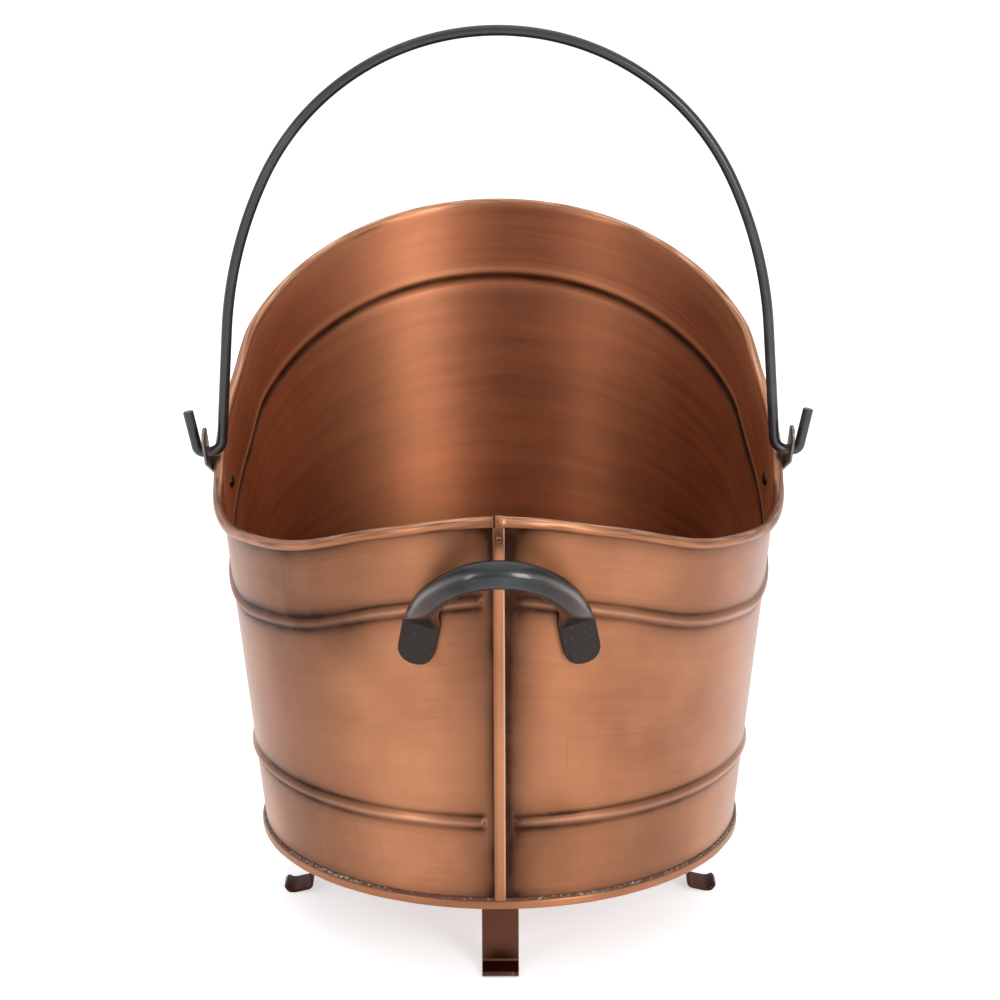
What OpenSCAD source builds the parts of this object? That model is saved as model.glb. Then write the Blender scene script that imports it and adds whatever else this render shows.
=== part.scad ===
// Log bucket: a flared sheet-copper hod with a scooped back, a swinging wire bail,
// a forged tipping handle on the front and four bent strap feet.
// X runs to the right, -Y is the front with the seam, Z is up and z = 0 is the floor.

/* [Wall] */
// Outer diameter of the wall where it meets the base
wall_foot_d = 279.6; // [240:0.2:320]
// Angle by which the wall leans outward
wall_flare = 6; // [3:0.5:9]
// Thickness of the wall sheet
sheet_t = 0.9; // [0.7:0.1:1.2]

/* [Rim] */
// Height of the rim above the base at the front, over the seam
rim_front_h = 231; // [215:1:245]
// Height of the rim above the base at its lowest, beside the front
rim_side_h = 196; // [185:1:205]
// Height of the rim above the base at the middle of the scooped back
rim_back_h = 340; // [300:1:370]
// Diameter of the rolled edge
roll_d = 6; // [5:0.2:8]
// Turn of the sheet round the rim wire, in degrees
roll_turn = 305; // [270:5:310]
// Gap between the rim wire and the sheet rolled round it
roll_gap = 0.2; // [0.1:0.05:0.4]

/* [Beads] */
// Distance of the upper bead below the rim
bead_drop = 46; // [42:1:54]
// Height of the lower bead above the base
bead_low_h = 53; // [35:1:80]
// Width of a bead
bead_w = 8; // [6:0.5:12]
// How far a bead stands out of the wall
bead_proud = 2; // [1:0.1:3]

/* [Seam] */
// Width of the strip that closes the seam
seam_w = 6.4; // [5:0.2:10]
// Thickness of the seam strip
seam_t = 1.8; // [1.2:0.1:2.4]

/* [Base] */
// Thickness of the base sheet
base_t = 1; // [0.8:0.1:1.5]
// How far the hem of the base stands out of the wall
hem_reach = 2.7; // [2.4:0.1:4]
// Height of the hem of the base
hem_h = 5; // [4:0.5:8]

/* [Feet] */
// Height of the base above the floor
foot_h = 48; // [35:1:65]
// Distance of the upright part of a foot from the middle of the base
foot_r = 115; // [95:1:122]
// Width of the foot strap
foot_w = 20.8; // [14:0.2:28]
// Thickness of the foot strap
foot_t = 2; // [1.5:0.1:3]
// Length of the flange that holds a foot to the base
foot_flange = 26; // [22:1:34]
// Length of the toe, from the upright part to the flat spot it stands on
toe_len = 10; // [8:0.5:14]
// Angle by which the toe slopes down
toe_slope = 13; // [8:1:20]

/* [Ears] */
// Angle from the front at which an ear is riveted on
ear_turn = 98.5; // [96:0.1:99]
// Distance of an ear's rivet below the rolled rim straight above it
ear_drop = 24; // [22:0.2:26]
// Tilt of an ear, which sets it nearly square to the climbing rim
ear_tilt = 32; // [28:1:36]
// Width of an ear strap
ear_w = 12; // [11:0.2:13]
// Thickness of an ear strap
ear_t = 1.6; // [1.2:0.1:2.4]
// Gap between the rolled rim and the upper part of an ear
ear_gap = 2.3; // [2:0.1:3.4]
// Height of the bail axis above the rolled rim, along an ear
axis_rise = 7.6; // [7.2:0.1:9]
// Depth of the ear's bend below the bail axis
ear_bend_drop = 4.6; // [4.4:0.1:5.4]
// Lean of the ear's middle part, which comes back to the wall under the rim
ear_lean = 25.5; // [24.5:0.5:26]
// Lean of the ear's upper part towards the bucket
ear_nod = 8; // [4:1:10]
// Length of an ear above the bail axis
ear_tip = 17.8; // [14:0.2:20]
// Length of an ear's foot below its rivet
ear_foot = 6.5; // [5.5:0.1:8]

/* [Bail] */
// Diameter of the bail wire
bail_d = 6.2; // [5:0.2:8]
// Height of the bow above the bail axis
bail_rise = 244.3; // [215:0.1:270]
// Inward lean of the bail's legs
leg_lean = 4; // [2:0.5:6]
// Bend radius of the bail's shoulders
shoulder_r = 240; // [180:5:300]
// Bend radius at the foot of a leg
leg_bend_r = 8; // [7:0.5:10]
// Bend radius of the hook outside an ear
hook_bend_r = 4.2; // [4.2:0.1:7]
// Height of the hook above the bail axis
hook_h = 24.5; // [18:0.5:32]
// Outward lean of the hook
hook_lean = 12; // [5:1:25]
// Radial play of the bail wire in its ear
ear_play = 0.4; // [0.3:0.05:0.8]

/* [Tipping handle] */
// Diameter of the grip
grip_d = 15.5; // [12:0.5:18]
// Distance between the two legs of the handle where they leave the wall
grip_span = 82.6; // [70:0.2:110]
// Height of the crease where a leg leaves its pad, above the base
grip_foot_h = 172.3; // [150:0.1:176]
// Length of the grip's arch, from the crease to its crown
grip_arch = 53; // [44:0.5:60]
// Angle of the arch out of the upright
grip_tilt = 44; // [36:1:55]
// Width of a pad
pad_w = 20.3; // [16:0.1:24]
// Length of a pad
pad_len = 24; // [20:0.5:30]
// Thickness of a pad
pad_t = 5; // [4.4:0.1:6]
// Outward splay of the pads
pad_splay = 13; // [0:1:20]

/* [Fasteners] */
// Diameter of the rivets
rivet_d = 4; // [3:0.1:5]
// Diameter of the screws in the tipping handle
screw_d = 4; // [3:0.1:5]
// Distance between the two rivets or screws of a foot or a pad
pair_pitch = 9.6; // [9:0.1:11]
// Play of a rivet or screw in its hole
hole_play = 0.1; // [0.05:0.05:0.2]

/* [Hidden] */
$fn = 48;

COPPER = "#b5714c";
DARK_COPPER = "#5a3524";
DARK_IRON = "#3f3b3c";
GUNMETAL = "#434b50";
STEEL = "#8f8c88";

// Clearance between two faces that rest on each other
SEAT = 0.05;
// Clearance of a strap that passes close to another piece
PASS = 0.3;

// Columns of the wall, in degrees from the front, with closer ones beside the seam
COLUMN_STEP = 4;
SEAM_STEPS = [0.5, 1, 1.6];
seam_edge = atan((seam_w / 2 + SEAT) / (wall_foot_d / 2));
half_columns = concat([for (s = SEAM_STEPS) s * 2 * seam_edge],
                      [for (a = [2 * COLUMN_STEP : COLUMN_STEP : 180 - COLUMN_STEP]) a]);
columns = concat(half_columns, [180], [for (i = [len(half_columns) - 1 : -1 : 0]) -half_columns[i]]);

// Rise of the rim from its lowest point, as pairs of angle and share of the whole rise,
// first on the front crest, then on the scooped back
FRONT_SHARES = [[0, 1], [22, 0.72], [42, 0.26], [58, 0.08], [72, 0]];
BACK_SHARES = [[90, 0.063], [97, 0.18], [104, 0.288], [112, 0.42],
               [120, 0.59], [140, 0.818], [160, 0.955], [180, 1]];
rim_knots = concat([for (k = FRONT_SHARES) [k[0], rim_side_h + k[1] * (rim_front_h - rim_side_h)]],
                   [for (k = BACK_SHARES) [k[0], rim_side_h + k[1] * (rim_back_h - rim_side_h)]]);

// Outer radius of the wall at height h above the base
function wall_r(h) = wall_foot_d / 2 + h * tan(wall_flare);

// Slope of the rim at knot i, level at the front and at the back
function knot_slope(i) = i == 0 || i == len(rim_knots) - 1 ? 0 :
    (rim_knots[i + 1][1] - rim_knots[i - 1][1]) / (rim_knots[i + 1][0] - rim_knots[i - 1][0]);

// Smooth curve between knot i and the next one, at share s of the way
function knot_blend(i, s) = let (span = rim_knots[i + 1][0] - rim_knots[i][0])
    rim_knots[i][1] * (2 * s ^ 3 - 3 * s ^ 2 + 1) + knot_slope(i) * span * (s ^ 3 - 2 * s ^ 2 + s)
    + rim_knots[i + 1][1] * (3 * s ^ 2 - 2 * s ^ 3) + knot_slope(i + 1) * span * (s ^ 3 - s ^ 2);

// Height of the middle of the rolled edge above the base, at angle a from the front
function rim_h(a) = let (b = min(abs(a), 179.999),
                         i = max([for (k = [0 : len(rim_knots) - 2]) if (rim_knots[k][0] <= b) k]),
                         s = (b - rim_knots[i][0]) / (rim_knots[i + 1][0] - rim_knots[i][0]))
    knot_blend(i, s);

// Point at radius r and height h above the base, at angle a from the front
function on_ring(r, a, h) = [r * sin(a), -r * cos(a), foot_h + h];

// Closed skin through rings of points, each ring as long as the next, the last joined to the first
module ring_skin(rings) {
    n = len(rings);
    m = len(rings[0]);
    quads = [for (i = [0 : n - 1], j = [0 : m - 1])
             [i * m + j, i * m + (j + 1) % m, ((i + 1) % n) * m + (j + 1) % m, ((i + 1) % n) * m + j]];
    polyhedron([for (ring = rings) each ring],
               [for (q = quads) each [[q[0], q[2], q[1]], [q[0], q[3], q[2]]]], 10);
}

// Tube skin through sections of points, closed by a flat cap at each end
module section_skin(sections) {
    n = len(sections);
    m = len(sections[0]);
    sides = [for (i = [0 : n - 2], j = [0 : m - 1])
             let (a = i * m + j, b = i * m + (j + 1) % m)
             each [[a, b + m, b], [a, a + m, b + m]]];
    caps = [[for (j = [0 : m - 1]) j], [for (j = [m - 1 : -1 : 0]) (n - 1) * m + j]];
    polyhedron([for (section = sections) each section], concat(sides, caps), 10);
}

// Directions on the outer face of the wall at angle a: along it, up it and out of it
function along_wall(a) = [cos(a), sin(a), 0];
function up_wall(a) = [sin(a) * sin(wall_flare), -cos(a) * sin(wall_flare), cos(wall_flare)];
function out_of_wall(a) = [sin(a) * cos(wall_flare), -cos(a) * cos(wall_flare), -sin(wall_flare)];

// Frame on the outer face of the wall: X along the wall, Y up it, Z out of it
module on_wall(a, h) {
    rotate([0, 0, a]) translate([0, -wall_r(h), foot_h + h]) rotate([90 + wall_flare, 0, 0]) children();
}

// Path through points with its corners rounded to radius r
function corner_arc(p, q, s, r) =
    let (u = (p - q) / norm(p - q), v = (s - q) / norm(s - q), half = acos(u * v) / 2,
         mid = (u + v) / norm(u + v), centre = q + mid * r / sin(half),
         turn = 90 - half, side = sign(u.x * v.y - u.y * v.x), steps = 4)
    [for (k = [-steps : 2 : steps]) let (w = -mid, c = k / steps * turn * -side)
     centre + r * [w.x * cos(c) - w.y * sin(c), w.x * sin(c) + w.y * cos(c)]];
function rounded_path(points, r) =
    concat([points[0]],
           [for (i = [1 : len(points) - 2]) each corner_arc(points[i - 1], points[i], points[i + 1], r)],
           [points[len(points) - 1]]);

// Outline of a strap of thickness t whose middle follows a path
function strap_outline(path, t) =
    let (last = len(path) - 1,
         along = [for (i = [0 : last]) path[min(i + 1, last)] - path[max(i - 1, 0)]],
         out = [for (d = along) [-d.y, d.x] / norm(d) * t / 2])
    concat([for (i = [0 : last]) path[i] + out[i]], [for (i = [last : -1 : 0]) path[i] - out[i]]);

// Domed head of diameter d and height h, flat underneath
module round_head(d, h) {
    rotate_extrude() polygon(concat([[0, 0]], [for (t = [0 : 15 : 90]) [d / 2 * cos(t), h * sin(t)]]));
}

// Wall sheet with its rolled rim and its two beads

roll_r = roll_d / 2;
// Distance from the wall's outer face to the middle of the roll
roll_out = roll_r - sheet_t;
// How far the roll stands out of the wall
roll_reach = roll_out + roll_r;
BEAD_STEPS = 6;
ROLL_STEPS = 9;
ROLL_INNER_STEPS = 7;

// How far the wall stands out at step k across a bead, at angle a: a bead fades out at the seam
function bead_out(k, a) = bead_proud * (1 - cos(360 * k / BEAD_STEPS)) / 2
    * (abs(a) < 2.1 * seam_edge ? 0 : 1);

// Rows of a bead whose middle is at height h: outward by out from the wall's outer face
function bead_rows(h, a, inset) =
    [for (k = [0 : BEAD_STEPS]) let (y = h + (k / BEAD_STEPS - 0.5) * bead_w)
     [wall_r(y) - inset + bead_out(k, a), y]];

// Points round the roll at radius r, from its inner side over the top
function roll_rows(a, r, steps) = let (h = rim_h(a), c = wall_r(h) + roll_out)
    [for (k = [0 : steps]) let (t = 180 - k / steps * roll_turn) [c + r * cos(t), h + r * sin(t)]];

function reversed(list) = [for (i = [len(list) - 1 : -1 : 0]) list[i]];

// Section of the wall at angle a: up the outer face, round the roll and down the inner face
function wall_section(a) =
    concat([[wall_r(wall_low), wall_low]],
           bead_rows(bead_low_h, a, 0),
           bead_rows(rim_h(a) - bead_drop, a, 0),
           roll_rows(a, roll_out, ROLL_INNER_STEPS),
           reversed(roll_rows(a, roll_r, ROLL_STEPS)),
           reversed(bead_rows(rim_h(a) - bead_drop, a, sheet_t)),
           reversed(bead_rows(bead_low_h, a, sheet_t)),
           [[wall_r(wall_low) - sheet_t, wall_low]]);
wall_low = base_t + SEAT;

module body_wall() {
    color(COPPER) difference() {
        ring_skin([for (a = columns) [for (p = wall_section(a)) on_ring(p[0], a, p[1])]]);
        for (side = [-1, 1]) ear_place(side)
            cylinder(d = rivet_d + 2 * hole_play, h = 4 * ear_t, center = true);
        for (side = [-1, 1], y = [-1, 1]) pad_screw_place(side, y)
            cylinder(d = screw_d + 2 * hole_play, h = 4 * sheet_t, center = true);
    }
}

module rim_wire() {
    WIRE_SIDES = 8;
    wire_r = (roll_out - roll_gap) * cos(roll_turn / ROLL_INNER_STEPS / 2);
    color(STEEL) ring_skin([for (a = columns)
        [for (k = [WIRE_SIDES : -1 : 1]) let (t = 360 * k / WIRE_SIDES)
         on_ring(wall_r(rim_h(a)) + roll_out + wire_r * cos(t), a, rim_h(a) + wire_r * sin(t))]]);
}

// Capping strip of the seam, from the hem of the base up to the rolled rim
module seam_strip() {
    low = hem_h + SEAT + seam_t * sin(wall_flare);
    high = rim_front_h - roll_r - SEAT;
    round_r = seam_t / 2;
    color(COPPER) on_wall(0, low) translate([0, 0, SEAT]) rotate([-90, 0, 0])
        linear_extrude((high - low) / cos(wall_flare))
            union() {
                translate([-seam_w / 2, -round_r]) square([seam_w, round_r]);
                translate([round_r - seam_w / 2, -seam_t]) square([seam_w - 2 * round_r, seam_t]);
                for (side = [-1, 1]) translate([side * (seam_w / 2 - round_r), -round_r]) circle(round_r);
            }
}

// Base

hem_r = wall_foot_d / 2 + hem_reach;

// Base sheet with its edge folded up round the wall and hemmed over
module base_pan() {
    lip_in = wall_r(hem_h) + SEAT + PASS;
    edge = base_t;
    color(COPPER) translate([0, 0, foot_h]) difference() {
        rotate_extrude($fn = 96) union() {
            square([hem_r - edge, base_t]);
            translate([lip_in, 0]) square([hem_r - edge - lip_in, hem_h]);
            translate([lip_in, edge]) square([hem_r - lip_in, hem_h - 2 * edge]);
            for (z = [edge, hem_h - edge]) translate([hem_r - edge, z]) circle(edge);
        }
        for (a = FOOT_ANGLES, side = [-1, 1]) foot_rivet_place(a, side)
            cylinder(d = rivet_d + 2 * hole_play, h = 4 * base_t, center = true);
    }
}

// Feet

FOOT_ANGLES = [0, 90, 180, 270];
FOOT_BEND_R = 3;
lip_len = 4;
LIP_ANGLE = 38;
flat_len = 3;
toe_drop = toe_len * tan(toe_slope);

// Middle line of the strap: flange under the base, upright, sloping toe, flat spot and upturned lip
foot_path = let (r = foot_r - foot_t / 2, low = foot_t / 2, high = foot_h - SEAT - foot_t / 2)
    [[r - foot_flange, high], [r, high], [r, low + toe_drop], [r + toe_len, low],
     [r + toe_len + flat_len, low],
     [r + toe_len + flat_len + lip_len * cos(LIP_ANGLE), low + lip_len * sin(LIP_ANGLE)]];

module foot_rivet_place(a, side) {
    rotate([0, 0, a - 90]) translate([foot_r - foot_t - foot_flange / 2, side * pair_pitch / 2, 0]) children();
}

// Bent strap foot that stands at angle a from the front
module foot(a) {
    toe_round = 4;
    tip_x = foot_r + toe_len + flat_len + lip_len;
    color(DARK_COPPER) difference() {
        rotate([0, 0, a - 90]) intersection() {
            rotate([90, 0, 0]) linear_extrude(foot_w, center = true)
                polygon(strap_outline(rounded_path(foot_path, FOOT_BEND_R), foot_t));
            linear_extrude(foot_h) union() {
                translate([0, -foot_w / 2]) square([foot_path[5].x - toe_round, foot_w]);
                translate([0, toe_round - foot_w / 2]) square([tip_x, foot_w - 2 * toe_round]);
                for (y = [-1, 1]) translate([foot_path[5].x - toe_round, y * (foot_w / 2 - toe_round)])
                    circle(toe_round);
            }
        }
        for (side = [-1, 1]) foot_rivet_place(a, side) translate([0, 0, foot_h])
            cylinder(d = rivet_d + 2 * hole_play, h = 4 * foot_t, center = true);
    }
}

module foot_front() { foot(0); }
module foot_right() { foot(90); }
module foot_rear() { foot(180); }
module foot_left() { foot(270); }

// Rivets with one head on the base inside the bucket and one under the flange of the foot
module foot_rivets() {
    color(DARK_COPPER) for (a = FOOT_ANGLES, side = [-1, 1])
        translate([0, 0, foot_h]) foot_rivet_place(a, side)
            rivet(-foot_t - 2 * SEAT, base_t + SEAT);
}

// Rivet with its shank from z0 to z1 and a domed head at each end
module rivet(z0, z1) {
    head_d = 1.9 * rivet_d;
    head_h = 0.4 * rivet_d;
    translate([0, 0, z0]) cylinder(d = rivet_d, h = z1 - z0);
    translate([0, 0, z1]) round_head(head_d, head_h);
    translate([0, 0, z0]) mirror([0, 0, 1]) round_head(head_d, head_h);
}

// Ears

// Height of an ear's rivet above the base
ear_h = rim_h(ear_turn) - ear_drop;
// Distance along an ear from its rivet to the rolled rim it crosses, by closer and closer approach
function ear_to_roll(s, rounds) = rounds == 0 ? s : ear_to_roll(
    (rim_h(ear_turn - asin(s * sin(ear_tilt) / wall_r(ear_h))) - ear_h) / cos(ear_tilt) / cos(wall_flare),
    rounds - 1);
ear_hole_s = ear_to_roll(ear_drop, 24) + axis_rise;
ear_bend_s = ear_hole_s - ear_bend_drop;
// Distance from the wall of the ear's middle line, where it bends beyond the roll
ear_stand = roll_reach + ear_gap + ear_t / 2;
ear_seat = ear_t / 2 + SEAT;
ear_wall_s = ear_bend_s - (ear_stand - ear_seat) / tan(ear_lean);
// Middle of the hole, out from the wall and then in the bucket's frame
ear_hole_out = ear_stand - ear_bend_drop * tan(ear_nod);
ear_hole = on_ring(wall_r(ear_h), ear_turn, ear_h) + ear_hole_out * out_of_wall(ear_turn)
    + ear_hole_s * (up_wall(ear_turn) * cos(ear_tilt) - along_wall(ear_turn) * sin(ear_tilt));
ear_path =
    [[ear_seat, -ear_foot], [ear_seat, ear_wall_s], [ear_stand, ear_bend_s],
     [ear_hole_out - ear_tip * tan(ear_nod), ear_hole_s + ear_tip]];
EAR_BEND_R = 2.5;
EAR_CORNER_R = 2;

// Frame at an ear's rivet, on the right for side 1 and on the left for side -1: Y along the ear, Z out
module ear_place(side) {
    mirror([side < 0 ? 1 : 0, 0, 0]) on_wall(ear_turn, ear_h) rotate([0, 0, ear_tilt]) children();
}

// Outline of an ear seen square to the wall
module ear_outline() {
    hull() {
        translate([0, ear_hole_s + ear_tip - ear_w / 2]) circle(d = ear_w);
        for (x = [-1, 1]) translate([x * (ear_w / 2 - EAR_CORNER_R), EAR_CORNER_R - ear_foot]) circle(EAR_CORNER_R);
    }
}

// Strap ear with a round top and a hole for the bail
module ear(side) {
    color(STEEL) difference() {
        ear_place(side) intersection() {
            rotate([0, -90, 0]) linear_extrude(2 * ear_w, center = true)
                polygon(strap_outline(rounded_path(ear_path, EAR_BEND_R), ear_t));
            linear_extrude(3 * ear_stand) ear_outline();
        }
        bail_axis() cylinder(r = bail_d / 2 + ear_play, h = 3 * ear_hole.x, center = true);
        ear_place(side) cylinder(d = rivet_d + 2 * hole_play, h = 4 * ear_t, center = true);
    }
}

module ear_left() { ear(-1); }
module ear_right() { ear(1); }

module ear_rivets() {
    color(STEEL) for (side = [-1, 1]) ear_place(side) rivet(-sheet_t - PASS - SEAT, ear_t + 2 * SEAT);
}

// Bail

module bail_axis() {
    translate([0, ear_hole.y, ear_hole.z]) rotate([0, 90, 0]) children();
}

// Ends of the straight stretch of wire that lies in an ear
JOURNAL_SPARE = 0.7;
journal_in = ear_hole.x - ear_t / 2 - JOURNAL_SPARE;
journal_out = ear_hole.x + ear_t / 2 + JOURNAL_SPARE;
// Foot of a leg, above the bend that turns it into the ear
leg_foot = [journal_in - leg_bend_r * cos(leg_lean), leg_bend_r * (1 - sin(leg_lean))];
// Turn of the bow from its crown to where the shoulder takes over
BOW_TURN = 64;
shoulder_end = 90 - leg_lean;
// The bow's radius and the leg's length close the outline between the crown and the leg's foot
shoulder_dx = shoulder_r * (sin(shoulder_end) - sin(BOW_TURN));
shoulder_dz = shoulder_r * (cos(BOW_TURN) - cos(shoulder_end));
side_x = leg_foot.x - shoulder_dx;
side_z = bail_rise - leg_foot.y - shoulder_dz;
closing = sin(BOW_TURN) * cos(leg_lean) - (1 - cos(BOW_TURN)) * sin(leg_lean);
bow_r = (side_x * cos(leg_lean) - side_z * sin(leg_lean)) / closing;
leg_len = (side_z * sin(BOW_TURN) - side_x * (1 - cos(BOW_TURN))) / closing;
bow_z = bail_rise - bow_r;
shoulder_c = [(bow_r - shoulder_r) * sin(BOW_TURN), bow_z + (bow_r - shoulder_r) * cos(BOW_TURN)];

// Bend of the wire about centre c, with radius r, from angle a0 by turn, in the XZ plane
module wire_bend(c, r, a0, turn) {
    translate([c.x, 0, c.y]) rotate([90, 0, 0]) rotate([0, 0, a0])
        rotate_extrude(angle = turn, $fn = 96) translate([r, 0]) circle(d = bail_d, $fn = 32);
}

// Straight stretch of wire from point p in direction a degrees above +X
module wire_run(p, a, len) {
    translate([p.x, 0, p.y]) rotate([0, 90 - a, 0]) cylinder(d = bail_d, h = len, $fn = 32);
}

// Lap over the meeting of two stretches of the wire at point p, a hair thicker than the wire
LAP_PROUD = 0.02;
LAP_LEN = 0.4;
module wire_lap(p, a) {
    translate([p.x, 0, p.y]) rotate([0, 90 - a, 0])
        cylinder(d = bail_d + 2 * LAP_PROUD, h = LAP_LEN, center = true, $fn = 32);
}

// Turn of the bend outside an ear, and the place where the hook goes on straight
hook_turn = 90 - hook_lean;
hook_foot = [journal_out + hook_bend_r * sin(hook_turn), hook_bend_r * (1 - cos(hook_turn))];

// One side of the bail, from the end of the bow to the tip of the hook
module bail_side() {
    wire_lap([bow_r * sin(BOW_TURN), bow_z + bow_r * cos(BOW_TURN)], -BOW_TURN);
    wire_bend(shoulder_c, shoulder_r, leg_lean, shoulder_end - BOW_TURN);
    wire_lap(leg_foot + leg_len * [-sin(leg_lean), cos(leg_lean)], 90 + leg_lean);
    wire_run(leg_foot, 90 + leg_lean, leg_len);
    wire_lap(leg_foot, 90 + leg_lean);
    wire_bend([journal_in, leg_bend_r], leg_bend_r, 180 + leg_lean, shoulder_end);
    wire_lap([journal_in, 0], 0);
    wire_run([journal_in, 0], 0, journal_out - journal_in);
    wire_lap([journal_out, 0], 0);
    wire_bend([journal_out, hook_bend_r], hook_bend_r, 270, hook_turn);
    wire_lap(hook_foot, hook_turn);
    wire_run(hook_foot, hook_turn, (hook_h - hook_foot.y) / cos(hook_lean));
}

module bail() {
    color(DARK_IRON) translate([0, ear_hole.y, ear_hole.z]) {
        wire_bend([0, bow_z], bow_r, 90 - BOW_TURN, 2 * BOW_TURN);
        bail_side();
        mirror([1, 0, 0]) bail_side();
    }
}

// Tipping handle

PAD_STATIONS = 6;
ARCH_STATIONS = 12;
SECTION_SIDES = 16;
// Arch angle over which a pad grows into the round grip
NECK_TURN = 30;
crease_out = pad_t / 2 + SEAT;
pad_angle = asin(grip_span / 2 / (wall_r(grip_foot_h) + crease_out));

// Directions at the pad: along the wall, up the wall and out of it
pad_along = along_wall(pad_angle);
pad_up = up_wall(pad_angle);
pad_out = out_of_wall(pad_angle);
crease = on_ring(wall_r(grip_foot_h), pad_angle, grip_foot_h) + pad_out * crease_out;

// Directions of the pad itself, which is splayed
pad_down = pad_along * sin(pad_splay) - pad_up * cos(pad_splay);
pad_wide = pad_along * cos(pad_splay) + pad_up * sin(pad_splay);

function unit(v) = v / norm(v);
function mix(a, b, s) = a + (b - a) * s;
function ease(s) = s * s * (3 - 2 * s);

// Section with middle p, half width a along u and half thickness b along v, boxier as q falls
function flat_round(p, u, v, a, b, q) =
    [for (k = [0 : SECTION_SIDES - 1]) let (t = 360 * (k + 0.5) / SECTION_SIDES)
     p + u * a * sign(cos(t)) * abs(cos(t)) ^ q + v * b * sign(sin(t)) * abs(sin(t)) ^ q];

BOXY = 0.35;
// Station of the right pad at share s from its rounded end up to the crease
function pad_section(s) =
    let (d = (1 - s) * pad_len, end = pad_w / 2, x = max(0, 1 - (pad_len - d) / end),
         half = max(pad_w / 2 * sqrt(1 - x * x), 0.25 * pad_w))
    flat_round(crease + pad_down * d, pad_wide, pad_out, half, pad_t / 2, BOXY);

// Directions of the plane of the arch: up in it and square to it
arch_up = [0, -sin(grip_tilt), cos(grip_tilt)];
arch_normal = [0, -cos(grip_tilt), -sin(grip_tilt)];

// Station of the right half of the arch at angle t, from 0 at the crease to 90 at the crown
function arch_section(t) =
    let (p = [crease.x * cos(t), crease.y, crease.z] + arch_up * grip_arch * sin(t),
         s = ease(min(1, t / NECK_TURN)),
         lean = unit([grip_arch * cos(t), 0, 0] + arch_up * crease.x * sin(t)),
         u = unit(mix(pad_wide, lean, s)),
         v0 = mix(pad_out, arch_normal, s), v = unit(v0 - u * (u * v0)))
    flat_round(p, u, v, mix(pad_w, grip_d, s) / 2, mix(pad_t, grip_d, s) / 2, mix(BOXY, 1, s));

function mirrored(section) = [for (p = section) [-p.x, p.y, p.z]];

// Depth of a screw in its pad
screw_grip = 3.4;

module pad_screw_place(side, y) {
    at = crease - pad_out * crease_out + pad_down * (pad_len / 2 + 1 + y * pair_pitch / 2);
    mirror([side < 0 ? 1 : 0, 0, 0])
        multmatrix([[pad_wide.x, -pad_down.x, pad_out.x, at.x],
                    [pad_wide.y, -pad_down.y, pad_out.y, at.y],
                    [pad_wide.z, -pad_down.z, pad_out.z, at.z]])
            children();
}

module tipping_handle() {
    half = concat([for (k = [0 : PAD_STATIONS - 1]) pad_section(k / PAD_STATIONS)],
                  [for (k = [0 : ARCH_STATIONS - 1]) arch_section(90 * k / ARCH_STATIONS)]);
    color(GUNMETAL) difference() {
        section_skin(concat(half, [arch_section(90)], reversed([for (section = half) mirrored(section)])));
        for (side = [-1, 1], y = [-1, 1]) pad_screw_place(side, y)
            cylinder(d = screw_d + 2 * hole_play, h = 2 * (screw_grip + 0.2), center = true);
    }
}

// Pan-head screws that hold the pads from inside the bucket
module handle_screws() {
    head_d = 2 * screw_d;
    head_h = 0.6 * screw_d;
    under = -sheet_t - PASS;
    color(STEEL) for (side = [-1, 1], y = [-1, 1]) pad_screw_place(side, y) {
        translate([0, 0, under]) cylinder(d = screw_d, h = screw_grip - under);
        translate([0, 0, under]) mirror([0, 0, 1]) round_head(head_d, head_h);
    }
}

body_wall();
rim_wire();
seam_strip();
base_pan();
foot_front();
foot_right();
foot_rear();
foot_left();
foot_rivets();
ear_left();
ear_right();
ear_rivets();
bail();
tipping_handle();
handle_screws();
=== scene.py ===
"""Dresses a packed log bucket: brushed copper sheet, a wire bail and a forged tipping handle."""

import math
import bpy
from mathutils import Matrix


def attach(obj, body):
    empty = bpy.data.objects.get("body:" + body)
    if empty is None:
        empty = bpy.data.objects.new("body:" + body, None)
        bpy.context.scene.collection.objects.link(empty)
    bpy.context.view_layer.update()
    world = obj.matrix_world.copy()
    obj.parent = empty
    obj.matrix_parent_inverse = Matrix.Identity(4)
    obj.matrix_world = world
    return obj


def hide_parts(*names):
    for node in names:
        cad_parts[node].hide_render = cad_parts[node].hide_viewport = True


bl_info = {
    "name": "Log Bucket",
    "version": (1, 0, 0),
    "blender": (4, 5, 0),
    "location": "View3D > Sidebar > Log Bucket",
    "description": "Builds the pieces and finishes of a copper log bucket round its packed model",
    "category": "Object",
}

import bmesh
import bpy
from bpy.props import FloatProperty, FloatVectorProperty, PointerProperty
from mathutils import Matrix, Vector, noise

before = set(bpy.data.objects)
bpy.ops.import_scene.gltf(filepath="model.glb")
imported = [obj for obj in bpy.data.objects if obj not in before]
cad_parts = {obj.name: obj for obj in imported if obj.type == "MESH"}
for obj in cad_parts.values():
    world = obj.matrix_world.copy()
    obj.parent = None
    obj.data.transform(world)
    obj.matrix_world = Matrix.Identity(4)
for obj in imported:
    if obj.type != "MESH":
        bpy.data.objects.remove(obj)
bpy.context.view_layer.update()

MM = 0.001
# Clearance between two faces that rest on each other
SEAT = 0.05 * MM
# Clearance of a strap that passes close to another piece
PASS = 0.3 * MM
# Points of a mesh that lie closer together than this become one
WELD = 0.0001 * MM
# Light that the floor gets from lamps of its own: as the camera sees it, and as the metal mirrors it
SWEEP_LEVEL = 0.62
SWEEP_MIRRORED = 0.44
# Strength and colour of the room's light on the bucket
ROOM_LEVEL = 0.7
ROOM_TINT = (0.95, 0.97, 1, 1)
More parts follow.
